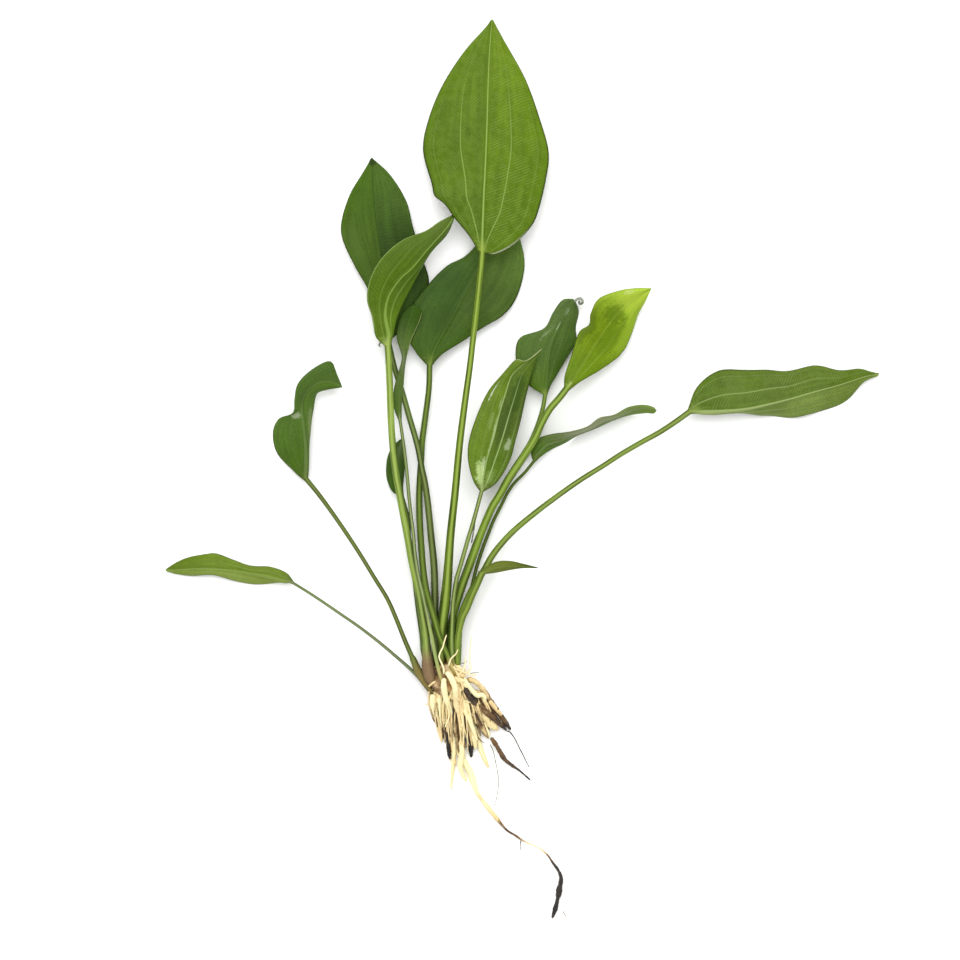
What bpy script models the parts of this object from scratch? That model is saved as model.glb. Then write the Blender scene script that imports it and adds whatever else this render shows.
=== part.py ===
"""Echinodorus plant, bare-rooted and lying on its side on a flat surface.

Every measure below is in millimetres and is taken from the growing point of the crown:
x to the plant's right, y towards the leaf tips, z up from the surface that it lies on.
An empty moves the whole plant so that the world origin is under the middle of its box.
A leaf is one solid: its round stalk flattens into the blade without a joint.
"""
import math

import bmesh
import bpy
import numpy as np
from mathutils import Vector

MM = 0.001

# Driving dimensions, in millimetres
BOX_CENTRE_X = 24.1
BOX_CENTRE_Y = 63.7
SURFACE_LEVEL = 0.0
BLADE_HALF_THICKNESS = 0.27
RIB_HALF_THICKNESS = 0.35
STALK_STEP = 9.0
ROOT_STEP = 3.4
RINGS_PER_STATION = 2
SIDE_FRACTION = 0.6
SIDE_HEIGHT = 0.8
BASE_FADE = 14.0
RIB_FADE = 2.0
CROWN_CENTRE = (-0.9, -5.8, 5.5)
CROWN_RADII = (5.6, 5.6, 4.4)
CROWN_LUMP = 0.09
CROWN_SEGMENTS = 16
CROWN_RINGS = 9

# Finishes: base colour, roughness
GREENS = {
    "mid": ((0.16, 0.27, 0.03, 1.0), 0.45),
    "dark": ((0.06, 0.14, 0.03, 1.0), 0.40),
    "light": ((0.19, 0.31, 0.05, 1.0), 0.42),
    "lime": ((0.36, 0.50, 0.04, 1.0), 0.38),
}
ROOT_COLOURS = {
    "cream": ((0.86, 0.78, 0.52, 1.0), 0.55),
    "tan": ((0.62, 0.43, 0.20, 1.0), 0.60),
    "brown": ((0.17, 0.09, 0.04, 1.0), 0.65),
    "black": ((0.03, 0.025, 0.02, 1.0), 0.60),
}
CROWN_COLOUR = ((0.50, 0.33, 0.14, 1.0), 0.65)


def clear_scene():
    """Remove whatever the scene holds."""
    for obj in list(bpy.data.objects):
        bpy.data.objects.remove(obj, do_unlink=True)


def material(name, colour, roughness):
    """A Principled material with one colour, made once for each name."""
    found = bpy.data.materials.get(name)
    if found:
        return found
    made = bpy.data.materials.new(name)
    made.use_nodes = True
    shader = made.node_tree.nodes["Principled BSDF"]
    shader.inputs["Base Color"].default_value = colour
    shader.inputs["Roughness"].default_value = roughness
    shader.inputs["Metallic"].default_value = 0.0
    made.diffuse_color = colour
    return made


def smooth_path(points, times):
    """Read a smooth curve through the given points; time n is point n (Catmull-Rom)."""
    held = np.asarray(points, float)
    first = 2 * held[0] - held[1]
    last = 2 * held[-1] - held[-2]
    padded = np.vstack([first, held, last])
    times = np.clip(np.asarray(times, float), 0.0, len(held) - 1)
    start = np.minimum(times.astype(int), len(held) - 2)
    t = (times - start)[:, None]
    p0, p1, p2, p3 = (padded[start + step] for step in range(4))
    return 0.5 * (2 * p1 + (p2 - p0) * t + (2 * p0 - 5 * p1 + 4 * p2 - p3) * t ** 2
                  + (3 * p1 - p0 - 3 * p2 + p3) * t ** 3)


def even_times(points, step):
    """Times that divide the curve through the points into equal stretches of about one step."""
    fine = np.linspace(0, len(points) - 1, 24 * len(points))
    curve = smooth_path(points, fine)
    run = np.concatenate([[0.0], np.cumsum(np.linalg.norm(np.diff(curve, axis=0), axis=1))])
    count = max(3, int(round(run[-1] / step)))
    return np.interp(np.linspace(0, run[-1], count + 1), run, fine)


def unit(vectors):
    """The vectors at length one."""
    length = np.linalg.norm(vectors, axis=-1, keepdims=True)
    return vectors / np.maximum(length, 1e-9)


def stalk_rings(points, radii):
    """Eight-sided rings along the stalk; the radius runs smoothly through its given values."""
    times = even_times(points, STALK_STEP)
    centre = smooth_path(points, times)
    share = times / times[-1]
    radius = np.interp(share, np.linspace(0, 1, len(radii)), radii)[:, None]
    forward = unit(np.gradient(centre, axis=0))
    left = unit(np.cross((0.0, 0.0, 1.0), forward))
    top = np.cross(forward, left)
    turns = [(1, 0), (SIDE_FRACTION, SIDE_HEIGHT), (0, 1), (-SIDE_FRACTION, SIDE_HEIGHT),
             (-1, 0), (-SIDE_FRACTION, -SIDE_HEIGHT), (0, -1), (SIDE_FRACTION, -SIDE_HEIGHT)]
    return np.stack([centre + radius * (a * left + b * top) for a, b in turns], axis=1)


def blade_rings(start_ring, stations, tip, bulge):
    """Eight-sided flat rings across the blade, from the stalk's last ring to the tip.

    A station holds the left edge, the midrib and the right edge. Each of the three runs on a
    smooth curve to the tip, and the blade arches by the bulge between rib and edge.
    """
    base = (start_ring[0], start_ring.mean(axis=0), start_ring[4])
    stalk_radius = np.linalg.norm(start_ring[0] - start_ring[4]) / 2
    rails = [[base[side]] + [station[side] for station in stations] + [tip] for side in range(3)]
    count = len(stations) + 1
    times = np.linspace(0, count, count * RINGS_PER_STATION + 1)[1:-1]
    left, middle, right = (smooth_path(rail, times) for rail in rails)
    share = (times / count)[:, None]
    ends = smooth_path(rails[1], np.append(times - 0.2, times + 0.2)).reshape(2, -1, 3)
    forward = unit(ends[1] - ends[0])
    up_left = unit(np.cross(forward, left - middle))
    up_right = unit(np.cross(forward, middle - right))
    up = unit(up_left + up_right)
    fade = np.exp(-BASE_FADE * share)
    side = BLADE_HALF_THICKNESS + (SIDE_HEIGHT * stalk_radius - BLADE_HALF_THICKNESS) * fade
    above = RIB_HALF_THICKNESS + (stalk_radius - RIB_HALF_THICKNESS) * fade
    below = RIB_HALF_THICKNESS + (stalk_radius - RIB_HALF_THICKNESS) * (1 - share) ** RIB_FADE
    arch = bulge * (1 - fade)
    left_side = middle + SIDE_FRACTION * (left - middle) + arch * up_left
    right_side = middle + SIDE_FRACTION * (right - middle) + arch * up_right
    return np.stack([left, left_side + side * up_left, middle + above * up,
                     right_side + side * up_right, right, right_side - side * up_right,
                     middle - below * up, left_side - side * up_left], axis=1)


def skin(rings, tip):
    """One closed mesh: faces between neighbouring rings, a flat end and a pointed tip."""
    shape = bmesh.new()
    rows = [[shape.verts.new(Vector(point) * MM) for point in ring] for ring in rings]
    sides = len(rows[0])
    for row, following in zip(rows, rows[1:]):
        for i in range(sides):
            j = (i + 1) % sides
            shape.faces.new((row[i], row[j], following[j], following[i]))
    point = shape.verts.new(Vector(tip) * MM)
    for i in range(sides):
        shape.faces.new((rows[-1][i], rows[-1][(i + 1) % sides], point))
    shape.faces.new(rows[0][::-1])
    bmesh.ops.triangulate(shape, faces=shape.faces[:])
    bmesh.ops.recalc_face_normals(shape, faces=shape.faces[:])
    return shape


def add_piece(name, shape, origin, finish, plant):
    """Put a mesh into the scene as one smooth object whose origin is its own growing point."""
    bmesh.ops.translate(shape, verts=shape.verts[:], vec=-Vector(origin) * MM)
    mesh = bpy.data.meshes.new(name)
    shape.to_mesh(mesh)
    shape.free()
    mesh.shade_smooth()
    mesh.set_sharp_from_angle(angle=math.radians(50))
    mesh.materials.append(finish)
    obj = bpy.data.objects.new(name, mesh)
    bpy.context.scene.collection.objects.link(obj)
    obj.parent = plant
    obj.location = Vector(origin) * MM
    return obj


def add_leaf(plant, name, green, stalk, radii, stations, tip, bulge=0.5):
    """One leaf: the stalk from the crown up, then the blade's stations and its tip."""
    lower = stalk_rings(stalk, radii)
    upper = blade_rings(lower[-1], stations, tip, bulge)
    shape = skin(np.concatenate([lower, upper]), tip)
    colour, roughness = GREENS[green]
    add_piece(name, shape, stalk[0], material("leaf_" + green, colour, roughness), plant)


def add_root(plant, name, tone, points, radii):
    """One root: a round tapered tube along a smooth curve, with closed ends."""
    times = even_times(points, ROOT_STEP)
    path = smooth_path(points, times)
    radius = np.interp(times / times[-1], np.linspace(0, 1, len(radii)), radii)
    curve = bpy.data.curves.new(name, "CURVE")
    curve.dimensions = "3D"
    curve.bevel_depth = MM
    curve.bevel_resolution = 1
    curve.use_fill_caps = True
    spline = curve.splines.new("POLY")
    spline.points.add(len(path) - 1)
    for held, place, thick in zip(spline.points, path - np.array(points[0]), radius):
        held.co = (*(Vector(place) * MM), 1.0)
        held.radius = thick
    colour, roughness = ROOT_COLOURS[tone]
    curve.materials.append(material("root_" + tone, colour, roughness))
    obj = bpy.data.objects.new(name, curve)
    bpy.context.scene.collection.objects.link(obj)
    obj.parent = plant
    obj.location = Vector(points[0]) * MM


def tall_leaf(plant):
    """The longest leaf, its broad blade in front of the two behind it."""
    stalk = [(-2.6, 2, 6), (-2.7, 9.3, 6.2), (-2.2, 14, 6.6), (-1.5, 20, 7.2), (-0.8, 27, 7.9),
             (-0.3, 34, 8.6), (0.4, 43, 9.2), (1.9, 57, 9.8), (3.2, 71, 10.2), (4.8, 84, 10.4),
             (6.6, 97, 10.4), (8.1, 110, 10.3), (9.6, 123, 10.2), (10.7, 135, 10)]
    stations = [
        ((6, 141, 9.4), (10.9, 140, 10.1), (15.2, 134.6, 10.2)),
        ((1.7, 146.3, 8.6), (11, 145.5, 10), (21, 137.6, 9.6)),
        ((-1.6, 151, 8.4), (11.1, 149, 9.8), (26.6, 143.2, 8.8)),
        ((-5, 153.8, 8.2), (11.2, 152.5, 9.6), (29.2, 148.6, 8)),
        ((-6, 158, 6.6), (11.6, 160, 8.8), (31.8, 159, 7.2)),
        ((-8.9, 169, 5.8), (12, 169.5, 7.8), (32.7, 168.5, 5.8)),
        ((-7.2, 179, 4.4), (12.4, 180, 6.4), (29.8, 180.2, 5)),
        ((-3, 190.5, 2.8), (12.7, 191.5, 4.6), (25.7, 191.5, 3.4)),
        ((5.2, 203, 1.2), (13.2, 202.5, 2.4), (20.5, 202.3, 1.4)),
    ]
    add_leaf(plant, "leaf_tall", "mid", stalk, (1.4, 1.6, 1.75, 1.35, 1.15, 1, 1), stations, (14, 213.6, 0))


def upper_left_leaf(plant):
    """The dark leaf at the upper left, flat on the surface."""
    stalk = [(-4.6, 2, 3.4), (-4.9, 12, 3.5), (-5, 23, 3.6), (-5.3, 32, 3.6), (-6.2, 41, 3.8),
             (-7.2, 51.3, 4.4), (-8.2, 58.7, 5), (-9.2, 63.5, 5.1), (-10.7, 71.3, 4.8),
             (-13.3, 80.3, 3.6), (-15.7, 88.7, 2.4), (-18.4, 97.3, 2.5), (-20.5, 106.4, 3.3)]
    stations = [
        ((-24.5, 114, 3.8), (-20.6, 112.5, 3.2), (-15.2, 110.5, 2.2)),
        ((-27.2, 123.2, 3.6), (-21.2, 121, 2.8), (-9.4, 117.5, 1)),
        ((-31.6, 131, 3), (-22.3, 130, 2.4), (-7, 126, 0.2)),
        ((-35.7, 140, 2), (-23.6, 139.5, 2.2), (-9, 133.5, 1.6)),
        ((-36.1, 146.5, 1.2), (-24.8, 148, 2), (-12.2, 144, 2.2)),
        ((-33.4, 155, 0.2), (-25.5, 156, 1.7), (-14.6, 153, 1.8)),
        ((-29.4, 161.8, 0), (-25.7, 162, 1.2), (-20, 161.8, 1.2)),
    ]
    add_leaf(plant, "leaf_upper_left", "dark", stalk, (1.3, 1.2, 1, 0.9), stations,
             (-26.1, 167.5, 0.4), 0.4)


def curled_leaf(plant):
    """The light leaf that curls over to the right, its tip under the tall one."""
    stalk = [(-7.8, -4.4, 6.4), (-7.6, 3, 6.4), (-8.1, 9.3, 6.4), (-9.4, 17, 6.4),
             (-11, 26, 6.6), (-12.7, 34, 7), (-13.9, 41, 7.4), (-15.3, 48.3, 7.9),
             (-16.4, 54.3, 8.3), (-17.8, 62.3, 8.8), (-18.8, 71.3, 9.1), (-19.4, 80.3, 9.3),
             (-19.8, 92, 9.4), (-20.4, 104.2, 9.5)]
    stations = [
        ((-24.4, 107.3, 9.5), (-20.4, 108, 9.8), (-18.6, 108, 8.4)),
        ((-25.6, 113.5, 10.5), (-21.4, 114.6, 10.8), (-17.2, 113.5, 7.6)),
        ((-27.2, 119.5, 12.5), (-20.2, 120.6, 12), (-14.8, 119.5, 7)),
        ((-26, 126.5, 13.2), (-16.6, 126, 12.4), (-12.1, 125, 6.6)),
        ((-22, 133.4, 12.4), (-12.4, 130, 11.6), (-9.4, 130, 6.6)),
        ((-15.6, 139, 11), (-7.8, 135.6, 10.4), (-5.8, 135.8, 6.6)),
        ((-8, 142.4, 8.2), (-4.2, 139.8, 8.2), (-2, 139.8, 6.4)),
        ((-3.4, 145.6, 6.8), (-1, 143.6, 7), (0.2, 143.4, 6.2)),
    ]
    add_leaf(plant, "leaf_curled", "light", stalk, (1.45, 1.3, 1.15, 1.1), stations,
             (1.6, 148.2, 5.6), 0.5)


def broad_leaf(plant):
    """The broad dark leaf behind the tall one's stalk."""
    stalk = [(0.2, -0.6, 9.1), (-0.4, 1.4, 9.1), (-2.2, 5.4, 9.1), (-3.6, 9, 8.9),
             (-5, 13.6, 8.2), (-6.4, 18.5, 7.3), (-7.8, 23.5, 6.4), (-8.8, 30, 5.8),
             (-9.5, 38, 4.4), (-10, 46, 3.4), (-10.2, 53, 2.6), (-10, 60, 2.2), (-9.6, 66, 2.2),
             (-9.2, 73, 2.2), (-8.3, 80, 2.6), (-7, 90, 4.2), (-6.7, 98, 5)]
    stations = [
        ((-11.2, 102.2, 4.6), (-5.6, 102, 5), (-2.6, 101.6, 4.6)),
        ((-14.2, 108.5, 3.6), (-3.2, 107, 4), (4, 105.9, 3.6)),
        ((-13.2, 117, 3), (0.2, 113, 3.2), (11, 110.6, 3)),
        ((-7.2, 125, 2.6), (4, 120, 2.6), (17.8, 114.8, 2.6)),
        ((-1, 131.2, 1.8), (7.6, 127, 2.2), (22.4, 121.2, 1.6)),
        ((5, 134.6, 1.2), (11.4, 134, 2), (24.8, 131, 1.2)),
        ((10.5, 140, 1.2), (15, 141, 1.8), (23.4, 140, 1.2)),
    ]
    add_leaf(plant, "leaf_broad", "dark", stalk, (0.75, 1.1, 1.1, 0.95), stations,
             (19.5, 149, 1.4), 0.3)


def folded_leaf(plant):
    """The small twisted leaf between the curled and the broad one."""
    stalk = [(-3.4, -3.4, 11), (-4.9, 3, 10.6), (-6, 8.7, 10), (-7.4, 15.5, 9.5), (-8.9, 22, 9.1),
             (-10.4, 29, 9), (-11.5, 36, 9), (-12, 42, 8.6), (-12.8, 48, 6.8), (-13.5, 54, 5.4),
             (-14.2, 62, 4.9), (-15.1, 70, 4.8), (-16.5, 79.8, 4.9)]
    stations = [
        ((-18.6, 84, 5.6), (-17.1, 84.5, 5), (-15.9, 84.5, 4.4)),
        ((-18.5, 90, 6.2), (-17, 90, 5.2), (-15.5, 90, 4.4)),
        ((-16.9, 96.5, 6.6), (-16, 96, 5.4), (-15, 95.5, 4.4)),
        ((-15.9, 101, 6.6), (-15.2, 101, 5.8), (-14.4, 100.5, 4.8)),
        ((-17.6, 107, 6), (-15, 106.5, 5.8), (-12.7, 106.5, 5.2)),
        ((-16.6, 113, 5.4), (-13.6, 112, 5.6), (-9.9, 112.8, 5)),
        ((-14.6, 116.4, 5.2), (-12.4, 116, 5.4), (-9.4, 116.4, 5)),
    ]
    add_leaf(plant, "leaf_folded", "dark", stalk, (0.6, 0.6, 0.6, 0.55), stations,
             (-12, 118.2, 5.2), 0.2)


def oval_leaf(plant):
    """The small oval leaf behind the curled one's stalk."""
    stalk = [(-8.9, 3, 2.9), (-9.5, 9, 2.9), (-10.7, 17, 3), (-11.8, 26, 3.1), (-12.8, 34, 3.2),
             (-13.4, 41, 3.3), (-14, 48, 3.3), (-15.9, 54.8, 3)]
    stations = [
        ((-19.4, 56.4, 3.2), (-17, 58, 2.8), (-15.5, 58, 2)),
        ((-21.1, 61.5, 3.6), (-18, 63, 2.6), (-15.1, 63, 1.6)),
        ((-20.8, 67.5, 3.4), (-18, 68, 2.5), (-15, 68, 1.6)),
        ((-18.6, 71.8, 2.8), (-17, 72, 2.4), (-15.3, 71.8, 1.8)),
    ]
    add_leaf(plant, "leaf_oval", "dark", stalk, (0.75, 0.7, 0.6, 0.6), stations,
             (-15.8, 74, 2.2), 0.3)


def glossy_leaf(plant):
    """The wet glossy leaf at the centre right."""
    stalk = [(0.8, 3.5, 7.7), (0.8, 9, 7.8), (0.9, 15, 8), (1.2, 20, 8), (2.2, 27, 8.1),
             (3.6, 31.9, 8.2), (5.9, 39.9, 8.3), (8, 47, 8.4), (9.1, 51, 8.4), (10.5, 56.2, 8.4)]
    stations = [
        ((7.6, 60, 9.4), (11, 60.5, 8.6), (15.6, 59.2, 8.6)),
        ((6, 67, 10.6), (12.2, 67, 8.8), (19.9, 66.5, 9)),
        ((6.6, 74, 10.6), (14.4, 74, 8.8), (22, 74, 8.4)),
        ((9.2, 82, 9.8), (16.2, 81.5, 8.6), (23.9, 81.3, 7)),
        ((12.8, 89.5, 8.6), (18.2, 88, 8.2), (25.4, 88, 6.2)),
        ((17.5, 95.2, 7.8), (20.2, 94, 7.6), (26.8, 94, 5.8)),
        ((21.8, 99.8, 7.6), (22.8, 97, 7.2), (28, 97.6, 5.8)),
        ((25.2, 99.6, 7), (26.2, 99.6, 6.8), (29.2, 100.6, 6.1)),
    ]
    add_leaf(plant, "leaf_glossy", "mid", stalk, (0.8, 0.75, 0.65), stations,
             (30.5, 103.6, 6.6), 0.6)


def dark_right_leaf(plant):
    """The dark two-lobed leaf under the glossy one."""
    stalk = [(-1.4, 2.6, 2.2), (-0.6, 9, 2.1), (0.9, 16, 2.1), (2.7, 23, 2.3), (5, 29.5, 2.2),
             (7.2, 35.5, 2.1), (9.3, 41, 2.1), (12.4, 47.5, 2.1), (15, 53, 2.2), (17.9, 58.5, 2.3),
             (21, 63.6, 2.4), (24.4, 68.7, 2.5), (27.2, 73.5, 2.9), (29.4, 79, 3.5),
             (30.9, 84, 4.2), (31.6, 88.2, 4.8)]
    stations = [
        ((26.5, 91.2, 4), (31.9, 91.5, 4.6), (33.6, 91.5, 4.4)),
        ((23.2, 95.8, 3), (32.3, 96, 4), (36, 95.6, 3.4)),
        ((21.8, 102, 2.4), (33, 101.5, 3.4), (39.4, 101.3, 2.4)),
        ((23.4, 107.4, 2.2), (34.2, 106.5, 3), (42, 106.2, 1.6)),
        ((31.2, 110.4, 2.6), (36.4, 111.3, 2.8), (42, 111, 0.4)),
        ((34.2, 115.6, 2.6), (38.3, 115.6, 2.8), (42.8, 116, 0.3)),
        ((37.4, 119.9, 3), (39.8, 118.6, 3), (42.2, 118.6, 2.2)),
    ]
    add_leaf(plant, "leaf_dark_right", "dark", stalk, (0.8, 0.85, 0.85, 0.7), stations,
             (41, 120.2, 3.2), 0.3)


def lime_leaf(plant):
    """The bright yellow-green leaf at the upper right."""
    stalk = [(0.3, 2.4, 4.3), (0.5, 9, 4.3), (1.2, 15, 4.4), (3.2, 22, 4.8), (4.7, 26.5, 5),
             (6, 30, 5.2), (7.6, 34.5, 5.5), (9.3, 39.5, 5.7), (11.2, 44.5, 6), (14, 51, 6.4),
             (16.5, 55, 6.6), (19.3, 60, 6.8), (22.6, 65, 6.9), (25.6, 69.6, 7), (28.5, 74.5, 7.2),
             (30.5, 79, 7.4), (33, 83.3, 7.5), (36.3, 87.2, 7.6), (38.6, 90.2, 7.6)]
    stations = [
        ((38.1, 95, 8), (41, 93.6, 7.4), (43.4, 92.6, 7)),
        ((40.4, 102, 8), (44.6, 99, 7), (49.6, 96.2, 6)),
        ((42.8, 108.9, 7.8), (48, 104.5, 6.4), (55.2, 100.2, 4.6)),
        ((46.2, 111.4, 7.7), (49.6, 107, 6.2), (57, 102.2, 4)),
        ((46.6, 115, 7.6), (51.2, 109.6, 6), (58.6, 104.4, 3.6)),
        ((49.2, 120, 7.2), (54.6, 114, 5.6), (61, 110, 3)),
        ((55.6, 122.6, 6.4), (58.6, 117.8, 5.2), (62.8, 115.2, 3)),
        ((61.6, 123.6, 5.4), (62.8, 121, 4.8), (64.9, 119.4, 3.6)),
    ]
    add_leaf(plant, "leaf_lime", "lime", stalk, (1.25, 1.25, 1.3, 1.1), stations,
             (66.8, 123.7, 4.6), 0.5)


def edge_on_leaf(plant):
    """The narrow leaf that stands on its edge along the middle of its length."""
    stalk = [(2.4, 3, 2.6), (3.2, 9, 2.6), (4.6, 15, 2.6), (6.6, 22, 2.7), (8.9, 31, 2.8),
             (10.8, 37, 2.8), (12.7, 42, 2.8), (14.6, 46.7, 2.8), (16.8, 51, 2.8),
             (19.2, 55.8, 2.7), (21.6, 59.2, 2.8), (24.8, 62.4, 3), (27.9, 66.2, 3.4)]
    stations = [
        ((26.9, 69.5, 3.8), (29, 68.6, 3.8), (30.4, 67.8, 3.2)),
        ((29, 73.6, 4.4), (32, 71.6, 4.2), (34.4, 70.3, 2)),
        ((34, 75.2, 7), (36.4, 73.2, 4.8), (38.6, 72.6, 1.2)),
        ((39.6, 76.2, 9.4), (41, 75, 5.4), (42.4, 74.8, 0.4)),
        ((45.6, 77.6, 10.4), (46.2, 77, 5.8), (47, 76.8, 0.1)),
        ((49.6, 80.7, 10.2), (50.6, 79.2, 5.6), (51.6, 78.8, 0.1)),
        ((54.6, 81.8, 9.2), (55.6, 81, 5), (56.6, 80.8, 0.1)),
        ((59.4, 84.1, 7.6), (60.4, 83, 4.4), (61.2, 82, 0.4)),
        ((64, 85.1, 5.6), (64.8, 83.8, 3.8), (65.2, 82.2, 1.4)),
        ((67.6, 84.3, 4), (67.8, 83.2, 3.4), (67.6, 82, 2)),
    ]
    add_leaf(plant, "leaf_edge_on", "dark", stalk, (0.65, 0.6, 0.55, 0.5), stations,
             (68.8, 83, 3), 0.2)


def long_right_leaf(plant):
    """The long leaf that reaches furthest to the right."""
    stalk = [(2.6, 2.6, 5.8), (2.8, 8, 5.8), (3.5, 14, 5.9), (6.6, 22, 5.8), (9.2, 26.5, 5.7),
             (11.3, 30, 5.6), (14, 34.8, 5.4), (17.2, 39, 5.2), (21.2, 43.2, 5), (26.4, 47.6, 4.8),
             (31.5, 51.6, 4.6), (37.5, 56, 4.4), (43.9, 60.4, 4.2), (50.5, 64.5, 4),
             (56.8, 68.6, 3.9), (63.5, 72.5, 3.8), (69.3, 75.7, 3.9), (74.4, 79, 4.1),
             (79.4, 82.6, 4.6)]
    stations = [
        ((82.2, 91.2, 3.8), (84.5, 82.9, 5.6), (84.5, 82, 3.2)),
        ((89, 96.2, 2.2), (91, 83.2, 6.4), (91, 82.2, 2.2)),
        ((97.5, 96.7, 2.4), (98, 83.8, 6.4), (98, 82.2, 1.6)),
        ((104.5, 96.7, 0.6), (105.5, 85.2, 5.8), (105, 81.4, 0.9)),
        ((112, 96.3, 2.4), (113, 87, 5), (111.5, 80.8, 0.1)),
        ((121.4, 98.1, 0.4), (120.5, 89.1, 4.2), (118.5, 81.5, 1.8)),
        ((129.5, 96.6, 2.4), (128, 91.2, 3.4), (126, 83.7, 0.1)),
        ((136, 97, 0.5), (134.8, 93.3, 2.4), (133, 87, 0.2)),
        ((139.8, 96.2, 1.2), (139, 94.7, 1.8), (137.6, 92.6, 1)),
    ]
    add_leaf(plant, "leaf_long_right", "mid", stalk, (1.3, 1.2, 1, 0.85, 0.95), stations,
             (143.1, 95.5, 0.3), 0.5)


def spear_leaf(plant):
    """The young spear-shaped leaf in front of the bundle."""
    stalk = [(2.4, 3, 9.2), (2.7, 8, 9.2), (4, 14, 9.3), (5.8, 18, 9.4), (7.4, 22, 9.6),
             (9.2, 26, 9.8), (10.6, 29.4, 10)]
    stations = [
        ((14.7, 32.9, 10.6), (15, 31.1, 10.4), (15.3, 29.4, 10)),
        ((19.5, 33.4, 10.6), (19.5, 31.8, 10.2), (19.5, 30.2, 9.8)),
        ((24.4, 32.4, 9.8), (24.4, 31.6, 9.6), (24.4, 30.9, 9.2)),
    ]
    add_leaf(plant, "leaf_spear", "mid", stalk, (0.85, 1.1, 1.2), stations,
             (29.4, 31.1, 8.8), 0.2)


def s_shaped_leaf(plant):
    """The left leaf that bends back to the right at its top."""
    stalk = [(-11.6, -0.7, 4.8), (-13.3, 3, 4.8), (-15.4, 8, 4.8), (-17.8, 14, 4.7),
             (-20.8, 20.7, 4.5), (-25, 27.5, 4.2), (-29.9, 35.5, 3.8), (-35.3, 43.7, 3.4),
             (-41, 51.8, 3.2), (-44.4, 56.3, 3.3), (-47.6, 60.2, 3.6)]
    stations = [
        ((-52, 62.8, 2.4), (-47.9, 63.5, 4), (-46.8, 63.5, 3.6)),
        ((-57.6, 69, 0.3), (-47.9, 69.5, 5), (-46.6, 69.5, 4)),
        ((-59, 76, 0.8), (-48.3, 75, 5.6), (-46.2, 75, 4)),
        ((-56.8, 80.4, 3.6), (-48.8, 80, 6), (-45.9, 79.8, 3.8)),
        ((-52, 82.2, 6.8), (-49.2, 83.6, 6), (-45.2, 83.5, 3.6)),
        ((-51.4, 86.6, 8.6), (-48.9, 87, 6), (-44.4, 87.6, 3.6)),
        ((-50, 92, 8.8), (-47, 90, 6.2), (-43.2, 89.2, 4)),
        ((-45, 97, 7.4), (-43.4, 92.2, 6.4), (-40.4, 90, 4.8)),
        ((-39.6, 99.4, 5), (-40, 92.6, 6), (-38, 90.3, 5.2)),
        ((-37.4, 95, 4.8), (-37.6, 91.9, 5.6), (-36.6, 90.5, 5.3)),
    ]
    add_leaf(plant, "leaf_s_shaped", "dark", stalk, (1.05, 0.85, 0.75, 0.68, 0.7, 0.8), stations,
             (-35.6, 90.7, 5.4), 0.3)


def far_left_leaf(plant):
    """The narrow leaf that reaches furthest to the left, flat on the surface."""
    stalk = [(-7.2, -9.6, 3.4), (-11.7, -4.2, 3.4), (-18, 1.5, 3.3), (-24, 6.5, 3.1),
             (-30.3, 11.3, 2.8), (-36.7, 15.7, 2.5), (-41.7, 19.1, 2.3), (-47.3, 22.8, 2.2),
             (-52, 25.7, 2.3)]
    stations = [
        ((-55, 26, 1.8), (-55, 26.5, 3), (-54.4, 29.2, 2.6)),
        ((-60, 25.5, 0.2), (-60, 27.8, 3), (-60, 31.2, 2)),
        ((-66, 25.3, 0.2), (-66, 28.9, 2.8), (-66.4, 31.6, 2.6)),
        ((-72, 26.4, 1.4), (-72, 29.8, 2.6), (-72.4, 33.6, 1.6)),
        ((-79, 28.4, 1.8), (-79, 30.4, 2.4), (-79, 35.7, 0.1)),
        ((-86, 28, 1), (-86, 30.4, 2), (-86, 34.6, 0.1)),
        ((-91.2, 28.6, 0.5), (-91.2, 30.1, 1.2), (-91, 32.6, 0.2)),
    ]
    add_leaf(plant, "leaf_far_left", "light", stalk, (0.6, 0.55, 0.5, 0.45), stations,
             (-94.9, 30, 0.2), 0.3)


def crown(plant):
    """The short lumpy rootstock that every leaf and root grows from."""
    shape = bmesh.new()
    bmesh.ops.create_uvsphere(shape, u_segments=CROWN_SEGMENTS, v_segments=CROWN_RINGS, radius=1)
    for vertex in shape.verts:
        way = vertex.co.normalized()
        lump = 1 + CROWN_LUMP * math.sin(7 * way.x + 2) * math.cos(6 * way.y) * math.sin(5 * way.z + 1)
        scaled = Vector(way[i] * lump * CROWN_RADII[i] for i in range(3))
        vertex.co = (scaled + Vector(CROWN_CENTRE)) * MM
    bmesh.ops.triangulate(shape, faces=shape.faces[:])
    add_piece("crown", shape, CROWN_CENTRE, material("crown_skin", *CROWN_COLOUR), plant)


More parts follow.
